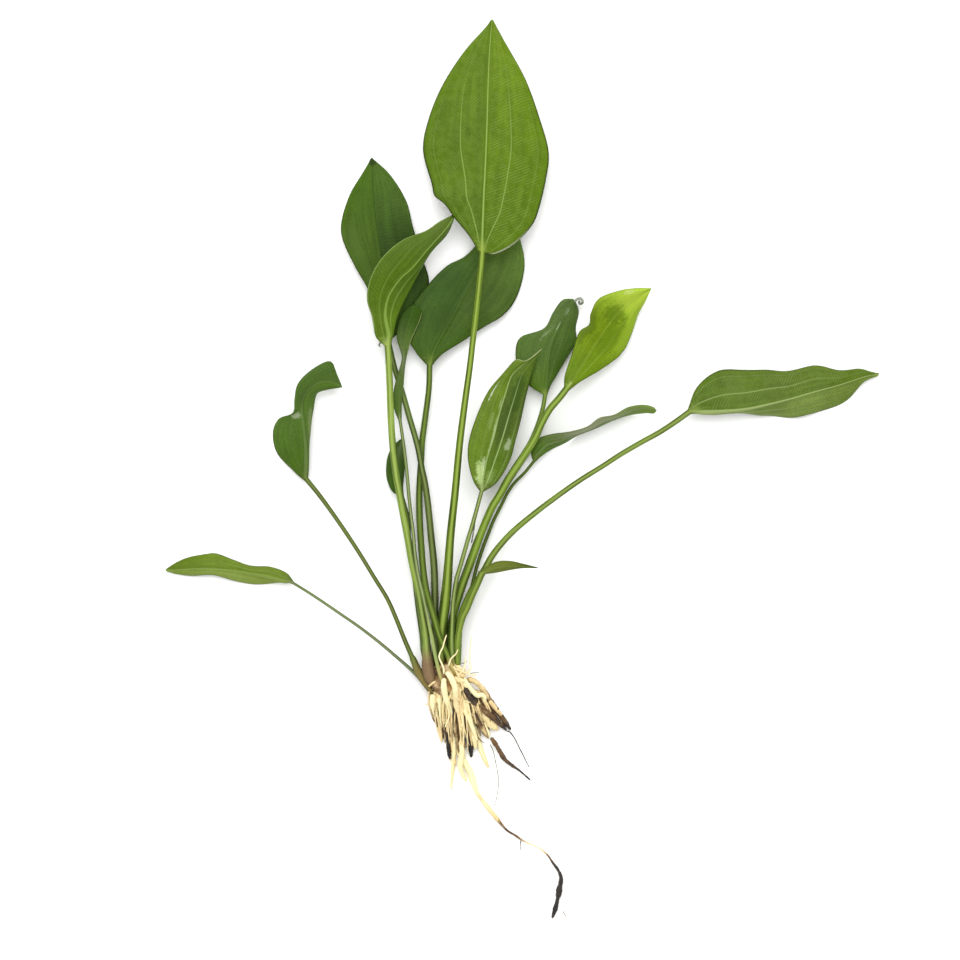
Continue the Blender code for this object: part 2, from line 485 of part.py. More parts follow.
def cream_roots(plant):
    """The living roots, white to cream, in front and on the left."""
    add_root(plant, "root_front", "cream",
             [(-1.2, -3.2, 11.6), (0.4, -5, 11.9), (1.6, -8, 11.2), (1.9, -11, 9.4),
              (2.2, -14.5, 7.2), (3.2, -18, 5.6)], (0.7, 0.85, 0.85, 0.6))
    add_root(plant, "root_front_left", "cream",
             [(-1.8, -5.2, 11.4), (-1.9, -8, 11.2), (-1.4, -11, 9.4), (-0.4, -14.5, 6.8),
              (0.9, -18, 5)], (0.7, 0.85, 0.85, 0.5))
    add_root(plant, "root_left", "cream",
             [(-5.4, -11, 6.2), (-5.6, -13.4, 5), (-5, -16.4, 3.6), (-4, -19.6, 2.4),
              (-3, -23.4, 1.4), (-2.8, -27.4, 0.8)], (0.75, 0.8, 0.6, 0.35))
    add_root(plant, "root_left_inner", "cream",
             [(-3.6, -11.9, 6), (-3.2, -14.2, 5), (-2.2, -18, 3.6), (-1.3, -22, 2.4),
              (-0.6, -27, 1.4), (0, -33.4, 0.8)], (0.75, 0.8, 0.65, 0.35))
    add_root(plant, "root_hooked", "cream",
             [(4.6, -5.2, 8.4), (6, -7.8, 8), (7.6, -9.9, 7.4), (9.1, -11.3, 6.8),
              (10.6, -11.1, 6.2), (11.5, -12.2, 5.4), (11.2, -14, 4.6)], (0.6, 0.8, 0.8, 0.6))
    add_root(plant, "root_centre", "cream",
             [(-0.6, -13, 3.4), (0.1, -17, 2.9), (0.6, -21.4, 2.5), (1.3, -26, 1.9),
              (1.3, -31, 1.3), (0.9, -36, 0.8), (0.4, -43.2, 0.5)], (0.8, 0.8, 0.6, 0.3))
    add_root(plant, "root_yellow", "cream",
             [(3.3, -11, 6.6), (4.6, -14, 5.6), (5.9, -17.4, 4.6), (7, -21.4, 3.6),
              (8, -26, 2.6), (8.6, -29.6, 1.9)], (0.8, 0.85, 0.8, 0.5))
    add_root(plant, "root_right_pale", "cream",
             [(6, -17.5, 1.6), (7.9, -21.5, 1.2), (9.4, -26, 0.9), (10.4, -30, 0.8),
              (12, -34, 0.7), (12.9, -35.8, 0.6)], (0.7, 0.75, 0.65, 0.4))


def tan_roots(plant):
    """The older roots, tan to orange-brown."""
    add_root(plant, "root_tan_left", "tan",
             [(-6.2, -10.6, 3.4), (-6.4, -13.6, 2.6), (-6, -17, 1.6), (-5.1, -20.6, 0.9)],
             (0.6, 0.75, 0.6, 0.4))
    add_root(plant, "root_tan_middle", "tan",
             [(1.4, -13, 5), (2.1, -16.4, 3.4), (2.9, -20.4, 2.6), (3.7, -25.6, 2.5),
              (4, -31, 2.8), (3.4, -35, 2.6), (4.3, -38.2, 1.3), (5.6, -40.2, 0.6)], (0.75, 0.8, 0.7, 0.4))
    add_root(plant, "root_tan_right", "tan",
             [(6, -12.6, 3.4), (8.4, -15.4, 3), (11.4, -18.2, 2.4), (13.6, -20.8, 1.8),
              (16, -23.2, 1.2)], (0.8, 1.0, 1.1, 0.7))
    add_root(plant, "root_long", "tan",
             [(-0.6, -10.9, 0.9), (0.4, -15, 0.9), (1.6, -19.4, 0.9), (2.3, -24, 0.9),
              (3, -28.6, 0.9), (4.2, -33, 0.9), (6.7, -37.2, 0.9), (7.8, -40.6, 0.9),
              (8.9, -43.7, 0.9), (10.5, -46.3, 0.9), (12.8, -49.3, 0.9), (15.3, -52.3, 0.9),
              (17.2, -54.8, 0.8), (19.2, -56.8, 0.6), (21.6, -58.3, 0.5), (24, -59.9, 0.5),
              (26.2, -61, 0.4), (29.4, -62.4, 0.4), (32.2, -64.6, 0.4), (34.2, -67.4, 0.5),
              (36.2, -70.2, 0.6), (37, -73, 0.7), (36.4, -76.6, 0.8), (35.9, -79.2, 0.8),
              (35.3, -82.2, 0.6), (34, -86, 0.6)],
             (0.85, 0.85, 0.85, 0.85, 0.85, 0.85, 0.8, 0.5, 0.35, 0.3, 0.25, 0.45, 0.7, 0.65, 0.6))


def dark_roots(plant):
    """The dead roots, dark brown to black, on the right."""
    add_root(plant, "root_dark_upper", "black",
             [(5, -8.4, 5.2), (6.8, -10.6, 5.1), (8.2, -12.8, 5.2), (9, -14.4, 5.3)],
             (0.7, 0.85, 0.6))
    add_root(plant, "root_dark_outer", "brown",
             [(5.4, -6, 5.6), (8.4, -6.9, 5), (10.8, -9.2, 4.2), (12.7, -12.4, 3.4),
              (14.6, -15.4, 2.6), (17, -18.6, 1.9), (19.1, -21.6, 1.3), (20.3, -23.2, 0.8)],
             (0.5, 0.65, 0.7, 0.75, 0.75, 0.5))
    add_root(plant, "root_dark_inner", "brown",
             [(10.6, -16, 5.2), (12.4, -17.4, 4.4), (14.8, -19.4, 3.4), (17, -21.4, 2.2),
              (18.1, -22.6, 1.2), (18.9, -23.6, 0.6)], (0.5, 0.55, 0.5, 0.25))
    add_root(plant, "root_brown_strip", "brown",
             [(7.5, -16.6, 4.6), (8.8, -18.8, 4.1), (10.2, -21.2, 3), (11.6, -23.8, 1.9),
              (12.9, -26, 1.1)], (0.6, 0.65, 0.6, 0.35))
    add_root(plant, "root_black", "black",
             [(4.3, -19.6, 3.8), (5.1, -22.4, 3), (6.2, -25.4, 2.2), (6.9, -28.8, 1.5),
              (7.1, -32.4, 1)], (0.4, 0.45, 0.65, 0.8, 0.65))
    add_root(plant, "root_pointed", "brown",
             [(13.7, -25.6, 2.4), (15.1, -27.8, 1.8), (16.9, -30.8, 1.2), (18.4, -33.2, 0.9),
              (20.6, -35, 0.7), (23.2, -36.8, 0.5), (26.9, -40.1, 0.4)],
             (0.6, 0.75, 0.65, 0.5, 0.3, 0.2))


def build():
    """The whole plant, its pieces under one empty."""
    clear_scene()
    plant = bpy.data.objects.new("plant", None)
    plant.location = Vector((-BOX_CENTRE_X, -BOX_CENTRE_Y, SURFACE_LEVEL)) * MM
    bpy.context.scene.collection.objects.link(plant)
    for leaf in (tall_leaf, upper_left_leaf, curled_leaf, broad_leaf, folded_leaf, oval_leaf,
                 glossy_leaf, dark_right_leaf, lime_leaf, edge_on_leaf, long_right_leaf,
                 spear_leaf, s_shaped_leaf, far_left_leaf):
        leaf(plant)
    crown(plant)
    cream_roots(plant)
    tan_roots(plant)
    dark_roots(plant)
    bpy.context.view_layer.update()


build()
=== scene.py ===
"""Looks of an echinodorus plant that lies bare-rooted on a pale surface.

Routes are in millimetres from the growing point of the crown: x to the plant's right, y towards
the leaf tips, z up from the surface. The frame's origin is under the middle of the plant's box.
"""
import math

import bmesh
import bpy
import numpy as np
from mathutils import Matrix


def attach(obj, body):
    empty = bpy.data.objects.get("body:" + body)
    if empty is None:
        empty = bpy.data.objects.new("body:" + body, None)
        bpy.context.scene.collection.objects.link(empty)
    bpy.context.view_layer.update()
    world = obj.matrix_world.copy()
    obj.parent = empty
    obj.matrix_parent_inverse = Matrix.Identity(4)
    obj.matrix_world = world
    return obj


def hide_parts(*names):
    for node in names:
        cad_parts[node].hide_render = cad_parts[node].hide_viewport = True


bl_info = {
    "name": "Echinodorus plant",
    "version": (1, 0, 0),
    "blender": (4, 5, 0),
    "location": "3D View > Sidebar > Plant",
    "description": "Builds the leaves, crown and roots of a bare-rooted water plant",
    "category": "Object",
}

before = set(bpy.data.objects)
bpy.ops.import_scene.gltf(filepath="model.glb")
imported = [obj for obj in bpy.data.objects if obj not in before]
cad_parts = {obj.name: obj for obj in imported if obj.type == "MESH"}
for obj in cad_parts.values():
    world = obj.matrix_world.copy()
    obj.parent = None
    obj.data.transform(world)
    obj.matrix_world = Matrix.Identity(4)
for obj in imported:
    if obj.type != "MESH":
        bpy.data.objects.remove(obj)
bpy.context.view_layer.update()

MM = 0.001
SHIFT = np.array([-24.1, -63.7, 0.0])
BODY = "root"


# Leaf shapes: stalk route, stalk radii, blade stations (left edge, midrib, right edge), tip.
# arch is the swelling between rib and edge; wave is the margin's ripple (height, count, phase).
LEAF_SHAPES = {
    "leaf_tall": dict(
        foot=[((-1.8, -4.6, 6.2), 0.9), ((-2.3, -1, 6), 1.35)],
        stalk=[(-2.6, 2, 6), (-2.7, 9.3, 6.2), (-2.2, 14, 6.6), (-1.5, 20, 7.2),
               (-0.8, 27, 7.9), (-0.3, 34, 8.6), (0.4, 43, 9.2), (1.9, 57, 9.8),
               (3.2, 71, 10.2), (4.8, 84, 10.4), (6.6, 97, 10.4), (8.1, 110, 10.3),
               (9.6, 123, 10.2), (10.7, 135, 10)],
        radii=(1.4, 1.6, 1.75, 1.35, 1.15, 1, 1),
        stations=[((6, 141, 9.4), (10.9, 140, 10.1), (15.2, 134.6, 10.2)),
                  ((1.7, 146.3, 8.6), (11, 145.5, 10), (21, 137.6, 9.6)),
                  ((-1.6, 151, 8.4), (11.1, 149, 9.8), (26.6, 143.2, 8.8)),
                  ((-5, 153.8, 8.2), (11.2, 152.5, 9.6), (29.2, 148.6, 8)),
                  ((-6, 158, 6.6), (11.6, 160, 8.8), (31.8, 159, 7.2)),
                  ((-8.9, 169, 5.8), (12, 169.5, 7.8), (32.7, 168.5, 5.8)),
                  ((-7.2, 179, 4.4), (12.4, 180, 6.4), (29.8, 180.2, 5)),
                  ((-3, 190.5, 2.8), (12.7, 191.5, 4.6), (25.7, 191.5, 3.4)),
                  ((5.2, 203, 1.2), (13.2, 202.5, 2.4), (20.5, 202.3, 1.4))],
        tip=(14, 213.6, 0), arch=0.9, wave=(0.5, 3.4, 0.4), lean=0.9),
    "leaf_upper_left": dict(
        foot=[((-3, -5, 4.4), 0.8), ((-4.1, -1.5, 3.6), 1.3)],
        stalk=[(-4.6, 2, 3.4), (-4.9, 12, 3.5), (-5, 23, 3.6), (-5.3, 32, 3.6),
               (-6.2, 41, 3.8), (-7.2, 51.3, 4.4), (-8.2, 58.7, 5), (-9.2, 63.5, 5.1),
               (-10.7, 71.3, 4.8), (-13.3, 80.3, 3.6), (-15.7, 88.7, 2.4),
               (-18.4, 97.3, 2.5), (-20.5, 106.4, 3.3)],
        radii=(1.3, 1.2, 1, 0.9),
        stations=[((-24.5, 114, 3.8), (-20.6, 112.5, 3.2), (-15.2, 110.5, 2.2)),
                  ((-27.2, 123.2, 3.6), (-21.2, 121, 2.8), (-9.4, 117.5, 1)),
                  ((-31.6, 131, 3), (-22.3, 130, 2.4), (-7, 126, 0.2)),
                  ((-35.7, 140, 2), (-23.6, 139.5, 2.2), (-9, 133.5, 1.6)),
                  ((-36.1, 146.5, 1.2), (-24.8, 148, 2), (-12.2, 144, 2.2)),
                  ((-33.4, 155, 0.2), (-25.5, 156, 1.7), (-14.6, 153, 1.8)),
                  ((-29.4, 161.8, 0), (-25.7, 162, 1.2), (-20, 161.8, 1.2))],
        tip=(-26.1, 167.5, 0.4), arch=0.5, wave=(0.3, 2.6, 1.0), lean=0.8),
    "leaf_curled": dict(
        foot=[((-4.8, -8.8, 8), 0.3), ((-5.6, -7.2, 7.8), 1.2), ((-6.5, -5.2, 7.2), 2),
              ((-7.2, -2, 6.8), 2.1), ((-7.4, 1, 6.6), 1.8)],
        stalk=[(-7.8, -4.4, 6.4), (-7.6, 3, 6.4), (-8.1, 9.3, 6.4), (-9.4, 17, 6.4),
               (-11, 26, 6.6), (-12.7, 34, 7), (-13.9, 41, 7.4), (-15.3, 48.3, 7.9),
               (-16.4, 54.3, 8.3), (-17.8, 62.3, 8.8), (-18.8, 71.3, 9.1),
               (-19.4, 80.3, 9.3), (-19.8, 92, 9.4), (-20.4, 104.2, 9.5)],
        skip=1, radii=(1.45, 1.3, 1.15, 1.1),
        stations=[((-24.4, 107.3, 9.5), (-20.4, 108, 9.8), (-18.6, 108, 8.4)),
                  ((-25.6, 113.5, 10.5), (-21.4, 114.6, 10.8), (-17.2, 113.5, 7.6)),
                  ((-27.2, 119.5, 12.5), (-20.2, 120.6, 12), (-14.8, 119.5, 7)),
                  ((-26, 126.5, 13.2), (-16.6, 126, 12.4), (-12.1, 125, 6.6)),
                  ((-22, 133.4, 12.4), (-12.4, 130, 11.6), (-9.4, 130, 6.6)),
                  ((-15.6, 139, 11), (-7.8, 135.6, 10.4), (-5.8, 135.8, 6.6)),
                  ((-8, 142.4, 8.2), (-4.2, 139.8, 8.2), (-2, 139.8, 6.4)),
                  ((-3.4, 145.6, 6.8), (-1, 143.6, 7), (0.2, 143.4, 6.2))],
        tip=(1.6, 148.2, 5.6), arch=0.6, wave=(0.2, 2.0, 0.0), lean=0.5),
    "leaf_broad": dict(
        foot=[((2, -4.4, 8.8), 0.6), ((1.1, -2.4, 9.1), 0.8)],
        stalk=[(0.2, -0.6, 9.1), (-0.4, 1.4, 9.1), (-2.2, 5.4, 9.1), (-3.6, 9, 8.9),
               (-5, 13.6, 8.2), (-6.4, 18.5, 7.3), (-7.8, 23.5, 6.4), (-8.8, 30, 5.8),
               (-9.5, 38, 4.4), (-10, 46, 3.4), (-10.2, 53, 2.6), (-10, 60, 2.2),
               (-9.6, 66, 2.2), (-9.2, 73, 2.2), (-8.3, 80, 2.6), (-7, 90, 4.2),
               (-6.7, 98, 5)],
        radii=(0.75, 1.1, 1.1, 0.95),
        stations=[((-11.2, 102.2, 4.6), (-5.6, 102, 5), (-2.6, 101.6, 4.6)),
                  ((-14.2, 108.5, 3.6), (-3.2, 107, 4), (4, 105.9, 3.6)),
                  ((-13.2, 117, 3), (0.2, 113, 3.2), (11, 110.6, 3)),
                  ((-7.2, 125, 2.6), (4, 120, 2.6), (17.8, 114.8, 2.6)),
                  ((-1, 131.2, 1.8), (7.6, 127, 2.2), (22.4, 121.2, 1.6)),
                  ((5, 134.6, 1.2), (11.4, 134, 2), (24.8, 131, 1.2)),
                  ((10.5, 140, 1.2), (15, 141, 1.8), (23.4, 140, 1.2))],
        tip=(19.5, 149, 1.4), arch=0.4, wave=(0.35, 3.0, 0.7), lean=0.6),
    "leaf_folded": dict(
        foot=[((-2.4, -6.8, 9.8), 0.45), ((-2.9, -5, 10.6), 0.6)],
        stalk=[(-3.4, -3.4, 11), (-4.9, 3, 10.6), (-6, 8.7, 10), (-7.4, 15.5, 9.5),
               (-8.9, 22, 9.1), (-10.4, 29, 9), (-11.5, 36, 9), (-12, 42, 8.6),
               (-12.8, 48, 6.8), (-13.5, 54, 5.4), (-14.2, 62, 4.9), (-15.1, 70, 4.8),
               (-16.5, 79.8, 4.9)],
        radii=(0.6, 0.6, 0.6, 0.55),
        stations=[((-18.6, 84, 5.6), (-17.1, 84.5, 5), (-15.9, 84.5, 4.4)),
                  ((-18.5, 90, 6.2), (-17, 90, 5.2), (-15.5, 90, 4.4)),
                  ((-16.9, 96.5, 6.6), (-16, 96, 5.4), (-15, 95.5, 4.4)),
                  ((-15.9, 101, 6.6), (-15.2, 101, 5.8), (-14.4, 100.5, 4.8)),
                  ((-17.6, 107, 6), (-15, 106.5, 5.8), (-12.7, 106.5, 5.2)),
                  ((-16.6, 113, 5.4), (-13.6, 112, 5.6), (-9.9, 112.8, 5)),
                  ((-14.6, 116.4, 5.2), (-12.4, 116, 5.4), (-9.4, 116.4, 5))],
        tip=(-12, 118.2, 5.2), arch=0.2, wave=(0.1, 3.0, 0.0), lean=0.4),
    "leaf_oval": dict(
        foot=[((-5.4, -5, 4), 0.6), ((-7.6, -1, 3.2), 0.8)],
        stalk=[(-8.9, 3, 2.9), (-9.5, 9, 2.9), (-10.7, 17, 3), (-11.8, 26, 3.1),
               (-12.8, 34, 3.2), (-13.4, 41, 3.3), (-14, 48, 3.3), (-15.9, 54.8, 3)],
        radii=(0.75, 0.7, 0.6, 0.6),
        stations=[((-19.4, 56.4, 3.2), (-17, 58, 2.8), (-15.5, 58, 2)),
                  ((-21.1, 61.5, 3.6), (-18, 63, 2.6), (-15.1, 63, 1.6)),
                  ((-20.8, 67.5, 3.4), (-18, 68, 2.5), (-15, 68, 1.6)),
                  ((-18.6, 71.8, 2.8), (-17, 72, 2.4), (-15.3, 71.8, 1.8))],
        tip=(-15.8, 74, 2.2), arch=0.4, wave=(0.1, 2.0, 0.0), lean=0.4),
    "leaf_glossy": dict(
        foot=[((1.7, -3.6, 7.4), 0.75), ((1.2, 0, 7.8), 0.9)],
        stalk=[(0.8, 3.5, 7.7), (0.8, 9, 7.8), (0.9, 15, 8), (1.2, 20, 8), (2.2, 27, 8.1),
               (3.6, 31.9, 8.2), (5.9, 39.9, 8.3), (8, 47, 8.4), (9.1, 51, 8.4),
               (10.5, 56.2, 8.4)],
        radii=(0.8, 0.75, 0.65),
        stations=[((7.6, 60, 9.4), (11, 60.5, 8.6), (15.6, 59.2, 8.6)),
                  ((6, 67, 10.6), (12.2, 67, 8.8), (19.9, 66.5, 9)),
                  ((6.6, 74, 10.6), (14.4, 74, 8.8), (22, 74, 8.4)),
                  ((9.2, 82, 9.8), (16.2, 81.5, 8.6), (23.9, 81.3, 7)),
                  ((12.8, 89.5, 8.6), (18.2, 88, 8.2), (25.4, 88, 6.2)),
                  ((17.5, 95.2, 7.8), (20.2, 94, 7.6), (26.8, 94, 5.8)),
                  ((21.8, 99.8, 7.6), (22.8, 97, 7.2), (28, 97.6, 5.8)),
                  ((25.2, 99.6, 7), (26.2, 99.6, 6.8), (29.2, 100.6, 6.1))],
        tip=(30.5, 103.6, 6.6), arch=0.7, wave=(0.2, 2.5, 0.0), lean=0.5),
    "leaf_dark_right": dict(
        foot=[((-0.6, -4, 3.6), 0.6), ((-1.2, -0.5, 2.6), 0.8)],
        stalk=[(-1.4, 2.6, 2.2), (-0.6, 9, 2.1), (0.9, 16, 2.1), (2.7, 23, 2.3),
               (5, 29.5, 2.2), (7.2, 35.5, 2.1), (9.3, 41, 2.1), (12.4, 47.5, 2.1),
               (15, 53, 2.2), (17.9, 58.5, 2.3), (21, 63.6, 2.4), (24.4, 68.7, 2.5),
               (27.2, 73.5, 2.9), (29.4, 79, 3.5), (30.9, 84, 4.2), (31.6, 88.2, 4.8)],
        radii=(0.8, 0.85, 0.85, 0.7),
        stations=[((26.5, 91.2, 4), (31.9, 91.5, 4.6), (33.6, 91.5, 4.4)),
                  ((23.2, 95.8, 3), (32.3, 96, 4), (36, 95.6, 3.4)),
                  ((21.8, 102, 2.4), (33, 101.5, 3.4), (39.4, 101.3, 2.4)),
                  ((23.4, 107.4, 2.2), (34.2, 106.5, 3), (42, 106.2, 1.6)),
                  ((31.2, 110.4, 2.6), (36.4, 111.3, 2.8), (42, 111, 0.4)),
                  ((34.2, 115.6, 2.6), (38.3, 115.6, 2.8), (42.8, 116, 0.3)),
                  ((37.4, 119.9, 3), (39.8, 118.6, 3), (42.2, 118.6, 2.2))],
        tip=(41, 120.2, 3.2), arch=0.5, wave=(0.25, 3.0, 0.4), lean=0.4),
    "leaf_lime": dict(
        foot=[((0.6, -4, 4.8), 0.8), ((0.3, -0.5, 4.4), 1.25)],
        stalk=[(0.3, 2.4, 4.3), (0.5, 9, 4.3), (1.2, 15, 4.4), (3.2, 22, 4.8),
               (4.7, 26.5, 5), (6, 30, 5.2), (7.6, 34.5, 5.5), (9.3, 39.5, 5.7),
               (11.2, 44.5, 6), (14, 51, 6.4), (16.5, 55, 6.6), (19.3, 60, 6.8),
               (22.6, 65, 6.9), (25.6, 69.6, 7), (28.5, 74.5, 7.2), (30.5, 79, 7.4),
               (33, 83.3, 7.5), (36.3, 87.2, 7.6), (38.6, 90.2, 7.6)],
        radii=(1.25, 1.25, 1.3, 1.1),
        stations=[((38.1, 95, 8), (41, 93.6, 7.4), (43.4, 92.6, 7)),
                  ((40.4, 102, 8), (44.6, 99, 7), (49.6, 96.2, 6)),
                  ((42.8, 108.9, 7.8), (48, 104.5, 6.4), (55.2, 100.2, 4.6)),
                  ((46.2, 111.4, 7.7), (49.6, 107, 6.2), (57, 102.2, 4)),
                  ((46.6, 115, 7.6), (51.2, 109.6, 6), (58.6, 104.4, 3.6)),
                  ((49.2, 120, 7.2), (54.6, 114, 5.6), (61, 110, 3)),
                  ((55.6, 122.6, 6.4), (58.6, 117.8, 5.2), (62.8, 115.2, 3)),
                  ((61.6, 123.6, 5.4), (62.8, 121, 4.8), (64.9, 119.4, 3.6))],
        tip=(66.8, 123.7, 4.6), arch=0.6, wave=(0.3, 2.2, 0.8), lean=0.3),
    "leaf_edge_on": dict(
        foot=[((1.6, -4, 3.6), 0.5), ((2.2, -0.5, 2.8), 0.65)],
        stalk=[(2.4, 3, 2.6), (3.2, 9, 2.6), (4.6, 15, 2.6), (6.6, 22, 2.7), (8.9, 31, 2.8),
               (10.8, 37, 2.8), (12.7, 42, 2.8), (14.6, 46.7, 2.8), (16.8, 51, 2.8),
               (19.2, 55.8, 2.7), (21.6, 59.2, 2.8), (24.8, 62.4, 3), (27.9, 66.2, 3.4)],
        radii=(0.65, 0.6, 0.55, 0.5),
        stations=[((26.9, 69.5, 3.8), (29, 68.6, 3.8), (30.4, 67.8, 3.2)),
                  ((29, 73.6, 4.4), (32, 71.6, 4.2), (34.4, 70.3, 2)),
                  ((34, 75.2, 7), (36.4, 73.2, 4.8), (38.6, 72.6, 1.2)),
                  ((39.6, 76.2, 9.4), (41, 75, 5.4), (42.4, 74.8, 0.4)),
                  ((45.6, 77.6, 10.4), (46.2, 77, 5.8), (47, 76.8, 0.1)),
                  ((49.6, 80.7, 10.2), (50.6, 79.2, 5.6), (51.6, 78.8, 0.1)),
                  ((54.6, 81.8, 9.2), (55.6, 81, 5), (56.6, 80.8, 0.1)),
                  ((59.4, 84.1, 7.6), (60.4, 83, 4.4), (61.2, 82, 0.4)),
                  ((64, 85.1, 5.6), (64.8, 83.8, 3.8), (65.2, 82.2, 1.4)),
                  ((67.6, 84.3, 4), (67.8, 83.2, 3.4), (67.6, 82, 2))],
        tip=(68.8, 83, 3), arch=0.3, wave=(0.2, 3.5, 0.0), lean=0.3),
    "leaf_long_right": dict(
        foot=[((2.4, -4, 5.8), 0.8), ((2.6, -0.8, 5.8), 1.1)],
        stalk=[(2.6, 2.6, 5.8), (2.8, 8, 5.8), (3.5, 14, 5.9), (6.6, 22, 5.8),
               (9.2, 26.5, 5.7), (11.3, 30, 5.6), (14, 34.8, 5.4), (17.2, 39, 5.2),
               (21.2, 43.2, 5), (26.4, 47.6, 4.8), (31.5, 51.6, 4.6), (37.5, 56, 4.4),
               (43.9, 60.4, 4.2), (50.5, 64.5, 4), (56.8, 68.6, 3.9), (63.5, 72.5, 3.8),
               (69.3, 75.7, 3.9), (74.4, 79, 4.1), (79.4, 82.6, 4.6)],
        radii=(1.3, 1.2, 1, 0.85, 0.95),
        stations=[((82.2, 91.2, 3.8), (84.5, 82.9, 5.6), (84.5, 82, 3.2)),
                  ((89, 96.2, 2.2), (91, 83.2, 6.4), (91, 82.2, 2.2)),
                  ((97.5, 96.7, 2.4), (98, 83.8, 6.4), (98, 82.2, 1.6)),
                  ((104.5, 96.7, 0.6), (105.5, 85.2, 5.8), (105, 81.4, 0.9)),
                  ((112, 96.3, 2.4), (113, 87, 5), (111.5, 80.8, 0.1)),
                  ((121.4, 98.1, 0.4), (120.5, 89.1, 4.2), (118.5, 81.5, 1.8)),
                  ((129.5, 96.6, 2.4), (128, 91.2, 3.4), (126, 83.7, 0.1)),
                  ((136, 97, 0.5), (134.8, 93.3, 2.4), (133, 87, 0.2)),
                  ((139.8, 96.2, 1.2), (139, 94.7, 1.8), (137.6, 92.6, 1))],
        tip=(143.1, 95.5, 0.3), arch=0.6, wave=(0.3, 4.5, 0.3), lean=0.6),
    "leaf_spear": dict(
        foot=[((2.6, -3.6, 8), 0.6), ((2.5, 0, 8.9), 0.85)],
        stalk=[(2.4, 3, 9.2), (2.7, 8, 9.2), (4, 14, 9.3), (5.8, 18, 9.4), (7.4, 22, 9.6),
               (9.2, 26, 9.8), (10.6, 29.4, 10)],
        radii=(0.85, 1.1, 1.2),
        stations=[((14.7, 32.9, 10.6), (15, 31.1, 10.4), (15.3, 29.4, 10)),
                  ((19.5, 33.4, 10.6), (19.5, 31.8, 10.2), (19.5, 30.2, 9.8)),
                  ((24.4, 32.4, 9.8), (24.4, 31.6, 9.6), (24.4, 30.9, 9.2))],
        tip=(29.4, 31.1, 8.8), arch=0.2, wave=(0.0, 1.0, 0.0), lean=0.2),
    "leaf_s_shaped": dict(
        foot=[((-5.4, -10.8, 5.4), 0.3), ((-7.4, -8.2, 5.2), 1.1), ((-9.6, -4.8, 5), 1.45),
              ((-11, -2.4, 4.9), 1.35)],
        stalk=[(-11.6, -0.7, 4.8), (-13.3, 3, 4.8), (-15.4, 8, 4.8), (-17.8, 14, 4.7),
               (-20.8, 20.7, 4.5), (-25, 27.5, 4.2), (-29.9, 35.5, 3.8),
               (-35.3, 43.7, 3.4), (-41, 51.8, 3.2), (-44.4, 56.3, 3.3), (-47.6, 60.2, 3.6)],
        radii=(1.05, 0.85, 0.75, 0.68, 0.7, 0.8),
        stations=[((-52, 62.8, 2.4), (-47.9, 63.5, 4), (-46.8, 63.5, 3.6)),
                  ((-57.6, 69, 0.3), (-47.9, 69.5, 5), (-46.6, 69.5, 4)),
                  ((-59, 76, 0.8), (-48.3, 75, 5.6), (-46.2, 75, 4)),
                  ((-56.8, 80.4, 3.6), (-48.8, 80, 6), (-45.9, 79.8, 3.8)),
                  ((-52, 82.2, 6.8), (-49.2, 83.6, 6), (-45.2, 83.5, 3.6)),
                  ((-51.4, 86.6, 8.6), (-48.9, 87, 6), (-44.4, 87.6, 3.6)),
                  ((-50, 92, 8.8), (-47, 90, 6.2), (-43.2, 89.2, 4)),
                  ((-45, 97, 7.4), (-43.4, 92.2, 6.4), (-40.4, 90, 4.8)),
                  ((-39.6, 99.4, 5), (-40, 92.6, 6), (-38, 90.3, 5.2)),
                  ((-37.4, 95, 4.8), (-37.6, 91.9, 5.6), (-36.6, 90.5, 5.3))],
        tip=(-35.6, 90.7, 5.4), arch=0.4, wave=(0.2, 3.0, 0.5), lean=0.4),
    "leaf_far_left": dict(
        foot=[((-5.4, -11.2, 3.8), 0.3), ((-6.4, -10.4, 3.6), 0.6)],
        stalk=[(-7.2, -9.6, 3.4), (-11.7, -4.2, 3.4), (-18, 1.5, 3.3), (-24, 6.5, 3.1),
               (-30.3, 11.3, 2.8), (-36.7, 15.7, 2.5), (-41.7, 19.1, 2.3),
               (-47.3, 22.8, 2.2), (-52, 25.7, 2.3)],
        radii=(0.6, 0.55, 0.5, 0.45),
        stations=[((-55, 26, 1.8), (-55, 26.5, 3), (-54.4, 29.2, 2.6)),
                  ((-60, 25.5, 0.2), (-60, 27.8, 3), (-60, 31.2, 2)),
                  ((-66, 25.3, 0.2), (-66, 28.9, 2.8), (-66.4, 31.6, 2.6)),
                  ((-72, 26.4, 1.4), (-72, 29.8, 2.6), (-72.4, 33.6, 1.6)),
                  ((-79, 28.4, 1.8), (-79, 30.4, 2.4), (-79, 35.7, 0.1)),
                  ((-86, 28, 1), (-86, 30.4, 2), (-86, 34.6, 0.1)),
                  ((-91.2, 28.6, 0.5), (-91.2, 30.1, 1.2), (-91, 32.6, 0.2))],
        tip=(-94.9, 30, 0.2), arch=0.4, wave=(0.2, 2.5, 0.6), lean=0.3),
}

